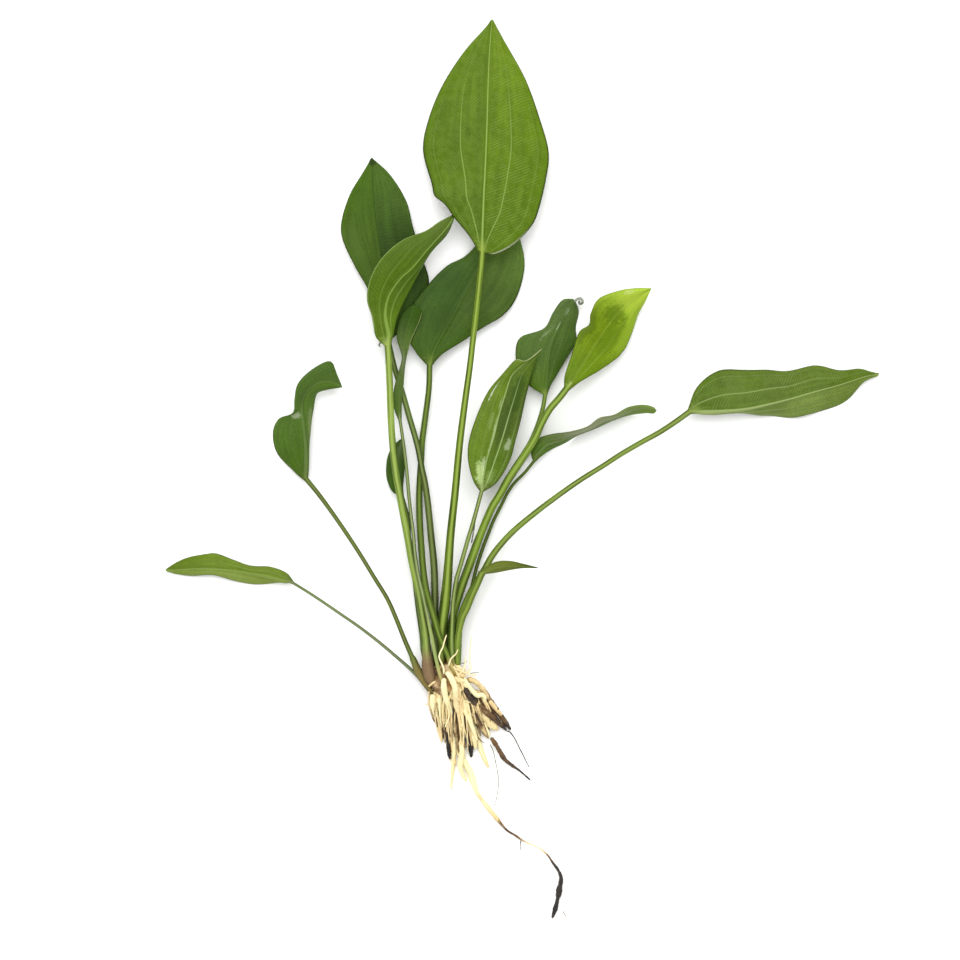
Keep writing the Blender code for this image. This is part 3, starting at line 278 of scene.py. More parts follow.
# Leaf colours as seen (sRGB), each for the foot, middle and tip of the blade.
# midrib, lateral and ladder say how strongly the veins show; gloss is the roughness; the colour after
# the stalk's three is a painted highlight along the middle of the stalk.
# Rim entries are painted highlights along one edge of a blade: side (1 left, -1 right), start and end
# along it, colour as seen, strength.
LEAF_LOOKS = {
    "leaf_tall": dict(
        slot="leaf_mid", left=((92, 123, 28), (94, 124, 24), (99, 130, 24)),
        right=((93, 123, 22), (101, 133, 21), (112, 142, 26)), vein=(158, 186, 92),
        stalk=((92, 112, 36), (92, 116, 30), (122, 148, 48)), stalk_highlight=(168, 192, 86),
        midrib=1.0, lateral=(0.7, 0.65), straight=True, ladder=0.9, edge=0.7, gloss=0.42,
        rises=(0.85, 0.45), sheath=((96, 78, 36), 0.05),
        rim_glints=((-1, 0.02, 0.16, (232, 238, 200), 0.9),)),
    "leaf_upper_left": dict(
        slot="leaf_dark", left=((67, 95, 26), (77, 106, 31), (78, 111, 27)),
        right=((67, 99, 30), (63, 90, 33), (80, 110, 36)), vein=(52, 80, 28),
        stalk=((96, 104, 60), (92, 108, 50), (90, 116, 46)), stalk_highlight=(140, 156, 92),
        midrib=0.6, lateral=(0.25, 0.25), ladder=0.1, edge=0.5, gloss=0.38,
        sheath=((88, 68, 40), 0.06)),
    "leaf_curled": dict(
        slot="leaf_light", left=((94, 121, 28), (84, 114, 20), (95, 119, 44)),
        right=((106, 140, 31), (102, 135, 35), (80, 106, 40)), vein=(150, 180, 84),
        stalk=((120, 140, 66), (132, 158, 66), (146, 172, 76)), stalk_highlight=(176, 198, 104),
        midrib=0.8, lateral=(0.3, 0.7), ladder=0.3, edge=0.2, gloss=0.40,
        sheath=((150, 118, 92), 0.14),
        rim_glints=((1, 0.12, 0.95, (176, 200, 120), 0.6),)),
    "leaf_broad": dict(
        slot="leaf_dark", left=((72, 102, 32), (69, 99, 38), (96, 130, 46)),
        right=((71, 102, 30), (80, 106, 41), (112, 146, 62)), vein=(96, 124, 60),
        stalk=((110, 132, 48), (92, 114, 44), (96, 118, 50)), stalk_highlight=(132, 156, 66),
        midrib=0.35, lateral=(0.12, 0.12), ladder=0.06, edge=0.3, gloss=0.40,
        sheath=((214, 196, 120), 0.07)),
    "leaf_folded": dict(
        slot="leaf_dark", left=((88, 120, 45), (104, 126, 66), (54, 84, 20)),
        right=((98, 126, 56), (104, 130, 62), (58, 90, 16)), vein=(110, 136, 66),
        stalk=((168, 186, 104), (120, 136, 88), (112, 132, 74)), stalk_highlight=(170, 186, 120),
        midrib=0.4, lateral=(0.2, 0.2), ladder=0.1, edge=0.4, gloss=0.40,
        sheath=((206, 196, 124), 0.08),
        rim_glints=((-1, 0.55, 0.9, (196, 208, 140), 0.7),)),
    "leaf_oval": dict(
        slot="leaf_dark", left=((66, 98, 26), (72, 104, 34), (80, 112, 44)),
        right=((64, 94, 30), (74, 104, 38), (112, 132, 84)), vein=(96, 126, 60),
        stalk=((96, 116, 50), (88, 110, 46), (84, 106, 42)), stalk_highlight=(120, 142, 66),
        midrib=0.4, lateral=(0.2, 0.2), ladder=0.1, edge=0.3, gloss=0.40),
    "leaf_glossy": dict(
        slot="leaf_mid", left=((108, 137, 39), (110, 138, 40), (114, 140, 39)),
        right=((95, 124, 31), (83, 105, 36), (94, 122, 33)), vein=(176, 200, 128),
        stalk=((150, 178, 84), (118, 132, 66), (110, 122, 62)), stalk_highlight=(168, 190, 110),
        midrib=0.8, lateral=(0.12, 0.8), ladder=0.2, edge=0.3, gloss=0.26,
        sheath=((196, 186, 110), 0.10),
        rim_glints=((1, 0.82, 1.0, (216, 226, 170), 0.8),)),
    "leaf_dark_right": dict(
        slot="leaf_dark", left=((86, 118, 31), (92, 121, 52), (99, 123, 64)),
        right=((70, 100, 22), (78, 108, 40), (100, 126, 62)), vein=(110, 136, 78),
        stalk=((110, 134, 48), (116, 140, 52), (112, 138, 52)), stalk_highlight=(146, 168, 78),
        midrib=0.3, lateral=(0.15, 0.2), ladder=0.12, edge=0.3, gloss=0.30),
    "leaf_lime": dict(
        slot="leaf_lime", left=((109, 139, 32), (121, 149, 17), (184, 216, 68)),
        right=((115, 147, 23), (123, 153, 21), (186, 218, 66)), vein=(168, 194, 84),
        stalk=((108, 136, 42), (116, 144, 44), (118, 144, 52)), stalk_highlight=(160, 186, 84),
        midrib=0.2, lateral=(0.12, 0.2), ladder=0.08, edge=0.3, gloss=0.34,
        sheath=((150, 130, 60), 0.04)),
    # The pale grey middle colour of the left half is a painted sheen.
    "leaf_edge_on": dict(
        slot="leaf_dark", left=((83, 119, 26), (150, 160, 112), (129, 154, 74)),
        right=((88, 121, 34), (92, 123, 43), (120, 150, 61)), vein=(150, 166, 116),
        stalk=((92, 112, 40), (80, 100, 38), (92, 116, 44)), stalk_highlight=(112, 134, 60),
        midrib=0.3, lateral=(0.2, 0.2), ladder=0.1, edge=0.4, gloss=0.36),
    "leaf_long_right": dict(
        slot="leaf_mid", left=((89, 116, 29), (95, 119, 38), (92, 118, 26)),
        right=((132, 156, 67), (126, 149, 70), (110, 133, 51)), vein=(176, 196, 122),
        stalk=((112, 138, 48), (114, 138, 52), (118, 140, 60)), stalk_highlight=(152, 172, 84),
        midrib=0.9, lateral=(0.5, 0.4), ladder=0.5, straight=True, edge=0.4, gloss=0.36),
    "leaf_spear": dict(
        slot="leaf_mid", left=((109, 123, 44), (110, 119, 41), (63, 76, 18)),
        right=((113, 126, 48), (112, 124, 50), (71, 81, 47)), vein=(138, 158, 72),
        stalk=((120, 146, 54), (118, 140, 50), (112, 134, 50)), stalk_highlight=(150, 172, 76),
        midrib=0.4, lateral=(0.2, 0.2), ladder=0.1, edge=0.2, gloss=0.40,
        sheath=((150, 128, 60), 0.12)),
    "leaf_s_shaped": dict(
        slot="leaf_dark", left=((77, 108, 27), (89, 122, 46), (83, 112, 44)),
        right=((82, 109, 37), (88, 120, 45), (90, 122, 42)), vein=(124, 146, 88),
        stalk=((96, 112, 44), (96, 110, 44), (92, 108, 42)), stalk_highlight=(128, 142, 76),
        midrib=0.5, lateral=(0.12, 0.2), ladder=0.12, edge=0.3, gloss=0.30,
        sheath=((146, 128, 74), 0.18),
        rim_glints=((-1, 0.10, 0.45, (196, 206, 160), 0.6),)),
    "leaf_far_left": dict(
        slot="leaf_light", left=((136, 158, 62), (137, 159, 69), (130, 153, 63)),
        right=((113, 135, 41), (112, 137, 39), (99, 124, 27)), vein=(150, 172, 90),
        stalk=((112, 124, 84), (110, 122, 80), (112, 130, 74)), stalk_highlight=(140, 154, 104),
        midrib=0.6, lateral=(0.3, 0.3), ladder=0.2, edge=0.5, gloss=0.38,
        sheath=((120, 104, 66), 0.10)),
}

# Local tints and painted highlights on a blade: across (-1 right edge to 1 left edge), along (0 foot
# to 1 tip), reach across, reach along, colour as seen, strength.
LEAF_PATCHES = {
    "leaf_tall": [(0.1, 0.06, 0.5, 0.05, (74, 102, 20), 0.4)],
    "leaf_upper_left": [(-0.7, 0.55, 0.4, 0.3, (52, 76, 26), 0.4),
                        (0.7, 0.4, 0.3, 0.3, (92, 122, 46), 0.4),
                        (0.0, 0.98, 0.6, 0.03, (40, 52, 24), 0.7)],
    "leaf_curled": [(0.0, 0.02, 0.9, 0.03, (140, 150, 112), 0.5),
                    (-0.4, 0.5, 0.35, 0.4, (74, 102, 28), 0.4)],
    # The pale patches of the glossy leaf are painted highlights of its wet glare and glints; the dark
    # ones are its own deeper green.
    "leaf_glossy": [(0.40, 0.10, 0.42, 0.11, (196, 222, 142), 1.0),
                    (0.20, 0.17, 0.14, 0.05, (206, 222, 170), 0.6),
                    (-0.45, 0.10, 0.3, 0.05, (150, 176, 96), 0.5),
                    (0.06, 0.36, 0.06, 0.12, (198, 216, 158), 0.6),
                    (0.30, 0.45, 0.10, 0.06, (150, 176, 100), 0.5),
                    (0.10, 0.56, 0.05, 0.05, (180, 200, 140), 0.6),
                    (0.74, 0.62, 0.05, 0.06, (226, 234, 206), 0.8),
                    (-0.72, 0.30, 0.13, 0.04, (190, 204, 160), 0.6),
                    (0.3, 0.75, 0.5, 0.10, (84, 112, 30), 0.4),
                    (-0.5, 0.62, 0.35, 0.16, (62, 88, 28), 0.7),
                    (-0.4, 0.42, 0.3, 0.14, (62, 88, 28), 0.6)],
    "leaf_lime": [(-0.10, 0.88, 1.2, 0.20, (182, 208, 66), 0.7),
                  (-0.80, 0.60, 0.28, 0.30, (152, 184, 50), 0.7),
                  (0.05, 0.66, 0.60, 0.10, (92, 124, 12), 0.7),
                  (-0.30, 0.48, 0.34, 0.20, (98, 130, 12), 0.55),
                  (0.80, 0.45, 0.25, 0.14, (84, 108, 18), 0.6),
                  (0.70, 0.84, 0.20, 0.04, (214, 228, 140), 0.5),
                  (0.00, 0.04, 0.30, 0.03, (222, 232, 140), 0.7)],
    # Painted sheen: a pale spot on the right half and a thin pale band where the blade folds.
    "leaf_s_shaped": [(-0.70, 0.42, 0.22, 0.16, (150, 166, 112), 0.5),
                      (0.30, 0.50, 0.30, 0.035, (186, 198, 160), 0.6)],
    # These three pale specks are painted glints of wet highlights.
    "leaf_dark_right": [(0.05, 0.70, 0.05, 0.05, (176, 192, 150), 0.7),
                        (0.35, 0.62, 0.08, 0.09, (150, 168, 120), 0.6),
                        (-0.05, 0.86, 0.10, 0.05, (150, 166, 124), 0.6)],
    # Painted sheen: a pale grey spot over the blade's left half.
    "leaf_edge_on": [(0.55, 0.50, 0.60, 0.20, (150, 158, 120), 0.55)],
    "leaf_long_right": [(-0.3, 0.42, 0.5, 0.12, (100, 124, 48), 0.4),
                        (0.5, 0.25, 0.4, 0.08, (108, 134, 52), 0.4)],
    # Painted sheen: a grey band across the middle where the folded blade's underside catches the
    # light.
    "leaf_folded": [(0.2, 0.50, 0.9, 0.10, (150, 160, 126), 0.5)],
    "leaf_broad": [(0.2, 0.30, 0.5, 0.12, (58, 84, 30), 0.4)],
    "leaf_far_left": [(0.6, 0.5, 0.4, 0.4, (150, 170, 84), 0.4)],
}

# Roots: slot, route, radii, tone along the root (0 cream, 0.35 tan, 0.7 brown, 1 black).
ROOTS = {
    "root_front": ("root_cream", [(-1.2, -3.2, 11.6), (0.4, -5, 11.9), (1.6, -8, 11.2),
                                  (1.9, -11, 9.4), (2.2, -14.5, 7.2), (3.2, -18, 5.6)],
                   (0.8, 1.0, 1.0, 0.8), (0.0, 0.0, 0.2, 0.3)),
    "root_front_left": ("root_cream", [(-1.8, -5.2, 11.4), (-1.9, -8, 11.2),
                                       (-1.4, -11, 9.4), (-0.4, -14.5, 6.8),
                                       (0.9, -18, 5)],
                        (0.8, 1.0, 1.0, 0.7), (0.0, 0.0, 0.0, 0.1)),
    "root_left": ("root_cream", [(-5.4, -11, 6.2), (-5.6, -13.4, 5), (-5, -16.4, 3.6),
                                 (-4, -19.6, 2.4), (-3, -23.4, 1.4), (-2.8, -27.4, 0.8)],
                  (1.0, 1.05, 0.8, 0.4), (0.02, 0.05, 0.2, 0.45)),
    "root_left_inner": ("root_cream", [(-3.6, -11.9, 6), (-3.2, -14.2, 5), (-2.2, -18, 3.6),
                                       (-1.3, -22, 2.4), (-0.6, -27, 1.4), (0, -33.4, 0.8)],
                        (1.0, 1.1, 0.9, 0.45), (0.02, 0.0, 0.08, 0.35)),
    "root_hooked": ("root_cream", [(4.6, -5.2, 8.4), (6, -7.8, 8), (7.6, -9.9, 7.4),
                                   (9.1, -11.3, 6.8), (10.6, -11.1, 6.2),
                                   (11.5, -12.2, 5.4), (11.2, -14, 4.6)],
                    (0.6, 0.8, 0.8, 0.6), (0.0, 0.0, 0.0, 0.1)),
    "root_centre": ("root_cream", [(-0.6, -13, 3.4), (0.1, -17, 2.9), (0.6, -21.4, 2.5),
                                   (1.3, -26, 1.9), (1.3, -31, 1.3), (0.9, -36, 0.8),
                                   (0.4, -43.2, 0.5)],
                    (1.0, 1.05, 0.85, 0.35), (0.05, 0, 0.05, 0.2, 0.2)),
    "root_yellow": ("root_cream", [(3.3, -11, 6.6), (4.6, -14, 5.6), (5.9, -17.4, 4.6),
                                   (7, -21.4, 3.6), (8, -26, 2.6), (8.6, -29.6, 1.9)],
                    (1.0, 1.1, 1.0, 0.7), (0.25, 0.12, 0.12, 0.2)),
    "root_right_pale": ("root_cream", [(6, -17.5, 1.6), (7.9, -21.5, 1.2), (9.4, -26, 0.9),
                                       (10.4, -30, 0.8), (12, -34, 0.7), (12.9, -35.8, 0.6)],
                        (0.9, 0.9, 0.8, 0.45), (0.1, 0.1, 0.12, 0.3)),
    "root_tan_left": ("root_tan", [(-6.2, -10.6, 3.4), (-6.4, -13.6, 2.6), (-6, -17, 1.6),
                                   (-5.1, -20.6, 0.9)],
                      (0.6, 0.75, 0.6, 0.4), (0.3, 0.4, 0.5, 0.7)),
    "root_tan_middle": ("root_tan", [(1.4, -13, 5), (2.1, -16.4, 3.4), (2.9, -20.4, 2.6),
                                     (3.7, -25.6, 2.5), (4, -31, 2.8), (3.4, -35, 2.6),
                                     (4.3, -38.2, 1.3), (5.6, -40.2, 0.6)],
                        (1.1, 1.1, 0.9, 0.5), (0.3, 0.3, 0.12, 0.05)),
    "root_tan_right": ("root_tan", [(6, -12.6, 3.4), (8.4, -15.4, 3), (11.4, -18.2, 2.4),
                                    (13.6, -20.8, 1.8), (16, -23.2, 1.2)],
                       (0.9, 1.5, 1.8, 1.1), (0.3, 0.22, 0.2, 0.3)),
    "root_long": ("root_tan", [(-0.6, -10.9, 0.9), (0.4, -15, 0.9), (1.6, -19.4, 0.9),
                               (2.3, -24, 0.9), (3, -28.6, 0.9), (4.2, -33, 0.9),
                               (6.7, -37.2, 0.9), (7.8, -40.6, 0.9), (8.9, -43.7, 0.9),
                               (10.5, -46.3, 0.9), (12.8, -49.3, 0.9), (15.3, -52.3, 0.9),
                               (17.2, -54.8, 0.8), (19.2, -56.8, 0.6), (21.6, -58.3, 0.5),
                               (24, -59.9, 0.5), (26.2, -61, 0.4), (29.4, -62.4, 0.4),
                               (32.2, -64.6, 0.4), (34.2, -67.4, 0.5), (36.2, -70.2, 0.6),
                               (37, -73, 0.7), (36.4, -76.6, 0.8), (35.9, -79.2, 0.8),
                               (35.3, -82.2, 0.6), (34, -86, 0.6)],
                  (0.95, 1, 1.1, 1.2, 1.2, 1.2, 1.2, 1.1, 0.75, 0.6, 0.8, 0.7, 0.45, 0.35,
                   0.35, 0.3, 0.2, 0.18, 0.25, 0.35, 0.55, 0.6, 1, 0.7, 0.8, 0.55),
                  (0.3, 0.2, 0.1, 0.05, 0, 0, 0, 0, 0.1, 0.35, 0.25, 0.45, 0.7, 0.8, 0.8,
                   0.6, 0.3, 0.3, 0.6, 0.95, 1, 1, 1, 1, 1, 1)),
    "root_dark_upper": ("root_black", [(5, -8.4, 5.2), (6.8, -10.6, 5.1), (8.2, -12.8, 5.2),
                                       (9, -14.4, 5.3)],
                        (1.0, 1.3, 0.9), (0.75, 0.95, 0.85)),
    "root_dark_outer": ("root_brown", [(5.4, -6, 5.6), (8.4, -6.9, 5), (10.8, -9.2, 4.2),
                                       (12.7, -12.4, 3.4), (14.6, -15.4, 2.6),
                                       (17, -18.6, 1.9), (19.1, -21.6, 1.3),
                                       (20.3, -23.2, 0.8)],
                        (0.8, 0.9, 0.95, 1.0, 0.9, 0.4), (0.45, 0.5, 0.7, 0.85, 0.95)),
    "root_dark_inner": ("root_brown", [(10.6, -16, 5.2), (12.4, -17.4, 4.4),
                                       (14.8, -19.4, 3.4), (17, -21.4, 2.2),
                                       (18.1, -22.6, 1.2), (18.9, -23.6, 0.6)],
                        (0.7, 0.8, 0.7, 0.25), (0.7, 0.85, 1.0)),
    "root_brown_strip": ("root_brown", [(7.5, -16.6, 4.6), (8.8, -18.8, 4.1),
                                        (10.2, -21.2, 3), (11.6, -23.8, 1.9),
                                        (12.9, -26, 1.1)],
                         (1.1, 1.3, 1.1, 0.5), (0.6, 0.62, 0.6)),
    "root_black": ("root_black", [(4.3, -19.6, 3.8), (5.1, -22.4, 3), (6.2, -25.4, 2.2),
                                  (6.9, -28.8, 1.5), (7.1, -32.4, 1)],
                   (0.35, 0.45, 0.65, 0.85, 0.6), (0.9, 1.0, 1.0)),
    "root_pointed": ("root_brown", [(13.7, -25.6, 2.4), (15.1, -27.8, 1.8),
                                    (16.9, -30.8, 1.2), (18.4, -33.2, 0.9),
                                    (20.6, -35, 0.7), (23.2, -36.8, 0.5),
                                    (26.9, -40.1, 0.4)],
                     (0.6, 0.85, 0.75, 0.55, 0.4, 0.2), (0.75, 0.8, 0.9, 1.0)),
}

# Mats of fine roots: strands, line that they leave the crown on, line of their ends,
# first radii, last radii, first tones, last tones (each least and most), slot.
MATS = {
    # The lowest mat's dark brown strands are partly aged roots and partly painted shade for the gaps
    # between the roots above them.
    "root_mat": dict(
        strands=64, seed=500, slot="root_brown",
        top=[(-6, -9.6, 3.4), (-2, -11, 3.8), (2, -10.6, 4.2), (6, -9.4, 3.8), (10.4, -10, 3.2)],
        end=[(-4.8, -21.6, 0.8), (-3, -26.6, 0.6), (0.4, -33, 0.6), (4.6, -36, 0.6),
             (8.6, -29, 0.8), (12, -25.6, 0.8), (16, -22, 0.8), (18.6, -21.4, 0.8)],
        thick=(0.35, 0.6), thin=(0.12, 0.3), young=(0.3, 0.8), old=(0.45, 1.0)),
    "root_mat_upper": dict(
        strands=36, seed=900, slot="root_tan",
        top=[(-5.4, -10, 5.6), (-2, -11.4, 6.4), (2.4, -11, 6.6), (6.4, -9.6, 6), (10, -9.8, 4.4)],
        end=[(-5, -20, 1.6), (-2.6, -25, 1.8), (0.8, -30, 2.2), (4.6, -33, 2), (8.4, -28, 2),
             (11.6, -24.6, 2), (16.4, -21.8, 1.6)],
        thick=(0.2, 0.45), thin=(0.08, 0.2), young=(0.0, 0.35), old=(0.0, 0.7)),
}

# Fine roots: route, first and last radius, first and last tone.
FINE_ROOTS = {
    "rootlets": [
        ([(-1, 9, 10.6), (-1.7, 7, 10.7), (-2.3, 4.8, 10.8), (-3.2, 3, 11.4),
          (-3.4, 1.5, 11.8), (-2.8, 0, 11.8), (-2, -2, 11.6), (-1.9, -4, 11.2)],
         0.22, 0.34, 0.15, 0.05),
        ([(2.8, 4.2, 10.4), (2, 2.6, 10.4), (1, 1.7, 10.4), (0.2, 0.6, 10.5),
          (-0.4, -1.4, 10.6)], 0.2, 0.3, 0.2, 0.05),
        ([(4.5, -13, 6.4), (6, -13.3, 6.6), (7.5, -14, 6.4), (8.2, -15, 6)],
         0.32, 0.22, 0.05, 0.15),
        ([(-7, -8.3, 7.4), (-5.8, -7.2, 9), (-4.6, -6.4, 9.6)], 0.3, 0.4, 0.4, 0.3),
        ([(4.3, -1.5, 8), (5.5, -3.5, 8.6), (6.5, -3, 9), (7, -1.8, 9.2), (6.7, 0, 9.2),
          (6.7, 4, 9), (7.2, 8.6, 9)], 0.3, 0.14, 0.1, 0.05),
        ([(2.4, -4.6, 10.2), (4, -3.2, 10.4), (5, -1, 10.2), (5.2, 1.6, 9.8)],
         0.32, 0.2, 0.2, 0.1),
        ([(1.4, -2.2, 10.4), (3.4, -2.8, 10.6), (6, -4, 9.6), (9, -4.6, 8.2)],
         0.34, 0.22, 0.25, 0.15),
        ([(0.4, -10.8, 9.4), (-0.8, -14, 8.4), (-0.2, -18, 7), (-1.6, -22, 5.4)],
         0.34, 0.24, 0.3, 0.05),
        ([(4.2, -11.4, 8.4), (3.4, -15, 7.4), (4.4, -18.6, 6.4), (3.6, -23, 5)],
         0.3, 0.22, 0.4, 0.1),
        ([(1.2, -1.4, 9.8), (2.4, -3.6, 10.2), (3.6, -6.4, 9.6), (4.6, -9.6, 8.4),
          (5.4, -12.6, 7)], 0.4, 0.35, 0.2, 0.35),
    ],
    "root_stubs": [
        ([(1.6, -0.6, 8.2), (2.8, -1.8, 8.8), (3.8, -3, 8.8)], 0.8, 1.1, 0.25, 0.1),
        ([(2, -3.6, 9), (3.8, -4.2, 9.2), (5.4, -4.8, 8.6)], 1.0, 0.8, 0.35, 0.3),
        ([(1.2, -5.4, 8.8), (3.2, -6, 9.2), (5, -6.6, 8.6)], 1.1, 1.0, 0.3, 0.15),
        ([(4, -6.8, 8.2), (5.2, -8, 8), (6, -9.4, 7.4)], 0.9, 0.6, 0.1, 0.1),
        ([(2.2, -6.4, 8), (2.9, -11, 7.2), (3.6, -15, 6), (3.4, -19.6, 4.8)],
         1.2, 1.0, 0.32, 0.36),
        ([(1.4, -9, 8), (0.4, -11.4, 8.2), (2, -12.2, 8), (4, -13, 7.4)],
         0.7, 0.6, 0.05, 0.25),
        ([(6, -5.6, 6.6), (9, -7.3, 5.9), (11.3, -10, 5.1), (12.8, -12.8, 4.3)],
         0.9, 0.7, 0.42, 0.5),
        ([(13, -13.2, 3.8), (15.6, -16.4, 2.8), (18, -19.4, 1.9)], 0.9, 0.5, 0.38, 0.45),
        ([(9.8, -14.4, 5.6), (13, -17, 4.6), (16, -20, 3.2), (18.6, -22.8, 1.6)],
         0.6, 0.35, 0.72, 0.95),
        ([(11, -20.6, 2.6), (12.3, -23.2, 2), (13.2, -25.6, 1.4)], 0.7, 0.5, 0.1, 0.05),
        ([(-5, -15, 3.6), (-4.6, -19, 2.4), (-3.6, -23.6, 1.4), (-2.9, -27, 0.6)],
         0.9, 0.35, 0.36, 0.45),
        ([(0.4, -24, 2.6), (0.9, -29, 1.9), (1.9, -35, 1)], 0.8, 0.4, 0.34, 0.38),
        # This black stub is partly a dead root and partly painted shade in the gap beside the hooked
        # root.
        ([(4.8, -8.6, 8.4), (6, -11, 7.8), (7.4, -13, 7), (8.8, -14.8, 6)],
         0.9, 0.7, 1, 0.85),
        ([(4.6, -16, 6.2), (6.2, -19, 5.4), (7.6, -22.6, 4.4), (9, -26.6, 3)],
         0.8, 0.7, 0.12, 0.1),
        ([(-6.8, -9.8, 5), (-7, -12.4, 4), (-6.6, -15, 3)], 0.3, 0.2, 0.4, 0.3),
        ([(-8.4, -14.6, 1.2), (-7, -14.7, 2), (-5.6, -15.2, 3)], 0.2, 0.3, 0.3, 0.2),
    ],
    "hair_roots": [
        ([(-4.3, -16, 2.2), (-3.6, -20.5, 1.2), (-3.2, -22.3, 0.8), (-2.7, -27.5, 0.4)],
         0.3, 0.12, 0.4, 0.6),
        ([(-1.7, -21, 3.6), (-1.3, -24, 3.2), (-0.7, -27, 2.6), (-0.5, -30, 2),
          (0, -33, 1.4)], 0.5, 0.6, 0.95, 1),
        ([(1.2, -12.6, 7.6), (1.4, -15, 6.8), (1.2, -18, 5.6), (1.6, -21, 4.6)],
         0.3, 0.35, 0.95, 0.9),
        ([(8.4, -17, 6), (9.6, -19.4, 5.2), (10.8, -21.8, 4)], 0.45, 0.3, 0.9, 0.85),
        ([(3.2, -20.8, 5), (4.4, -24, 4), (5.2, -27, 3.2)], 0.35, 0.3, 0.85, 0.95),
        ([(18.9, -23.6, 0.6), (20, -24, 0.5), (21.5, -26, 0.4), (23, -29, 0.3),
          (24.3, -31.5, 0.3), (25.5, -34, 0.3), (26.4, -35.7, 0.3)], 0.2, 0.12, 1, 0.9),
        ([(0.9, -15, 6), (2, -16.3, 5.4), (2.3, -19, 4.6), (2, -22, 3.8),
          (1.3, -23.7, 3.4), (2, -26, 3), (3, -28, 2.6)], 0.25, 0.2, 0.8, 0.8),
        ([(8.8, -24, 3), (9.7, -26, 2.4), (11.4, -27.6, 1.8)], 0.2, 0.12, 0.8, 0.8),
        ([(37.6, -83.6, 0.3), (38.4, -85, 0.3), (38.9, -86, 0.3)], 0.12, 0.08, 0.7, 0.6),
        ([(23.6, -60, 0.6), (23.4, -61.6, 0.3), (23.5, -63.4, 0.3)], 0.16, 0.1, 0.9, 0.8),
    ],
    "grey_wisps": [
        ([(3.4, -0.4, 8.6), (4.6, -0.5, 9), (5.8, 0.2, 9.2)], 0.2, 0.12, 0.6, 0.6),
        ([(6.4, -4.4, 7.6), (7.5, -3.8, 7.8), (10, -3.7, 7.4)], 0.2, 0.1, 0.6, 0.55),
        ([(13.3, -28, 1), (14.3, -30, 0.6), (15, -33, 0.4), (15.8, -37, 0.3),
          (16.2, -40, 0.3), (16, -43, 0.3), (15.5, -46, 0.3), (14.7, -48.5, 0.3)],
         0.14, 0.09, 0.75, 0.7),
    ],
    "pale_strand": [
        ([(9.6, 53, 6.6), (8.6, 49, 6.8), (8, 44, 6.8), (7.2, 39, 6.6)], 0.3, 0.24, 0.05, 0.1),
    ],
    "withered_curl": [
        ([(41.4, 119, 3.2), (42.2, 120, 3.4), (43.2, 120.3, 3.5), (44, 119.7, 3.4),
          (44, 118.9, 3.3), (43.2, 118.5, 3.3), (42.8, 119.2, 3.4), (43.4, 119.5, 3.5)],
         0.45, 0.4, 0.6, 0.6),
        ([(-22.4, 105.6, 9), (-23.3, 104.8, 8.8), (-22.9, 103.9, 8.6)], 0.35, 0.3, 0.6, 0.6),
    ],
}


class StageLook(bpy.types.PropertyGroup):
    """The floor, the light and the camera."""

    floor_size: bpy.props.FloatProperty(
        name="Floor size", description="Side of the square floor", default=6.0,
        unit="LENGTH")
    floor_colour: bpy.props.FloatVectorProperty(
        name="Floor colour", description="Colour of the pale floor", size=3,
        default=(0.97, 0.97, 0.96), subtype="COLOR")
    key_strength: bpy.props.FloatProperty(
        name="Key light", description="Strength of the soft main light", default=2.0)
    key_angle: bpy.props.FloatProperty(
        name="Key softness", description="Angle that the main light spreads over",
        default=math.radians(50), unit="ROTATION")
    fill_strength: bpy.props.FloatProperty(
        name="Surrounding light", description="Strength of the pale surroundings",
        default=1.1)
    lens: bpy.props.FloatProperty(
        name="Lens", description="Focal length in millimetres", default=105.0)
    frame_width: bpy.props.FloatProperty(
        name="View width", description="Width of the surface that the camera sees",
        default=0.32, unit="LENGTH")


class LeafLook(bpy.types.PropertyGroup):
    """What every leaf shares."""

    blade_thickness: bpy.props.FloatProperty(
        name="Blade half thickness", description="Half the thickness of a blade's skin",
        default=0.00022, unit="LENGTH", precision=5)
    rib_height: bpy.props.FloatProperty(
        name="Rib height", description="How far the midrib stands out at the tip",
        default=0.00012, unit="LENGTH", precision=5)
    vein_height: bpy.props.FloatProperty(
        name="Vein height", description="How far a side vein stands out",
        default=0.00008, unit="LENGTH", precision=5)
    step: bpy.props.FloatProperty(
        name="Step", description="Distance between two rings of a blade",
        default=0.0008, unit="LENGTH", precision=5)
    around: bpy.props.IntProperty(
        name="Points around", description="Points of each ring of a leaf", default=96)
    shade_scale: bpy.props.FloatProperty(
        name="Brightness", description="Factor from a colour as seen to its paint",
        default=0.60)
    ladder_pitch: bpy.props.FloatProperty(
        name="Cross vein spacing", description="Distance between cross veins",
        default=0.00098, unit="LENGTH", precision=5)


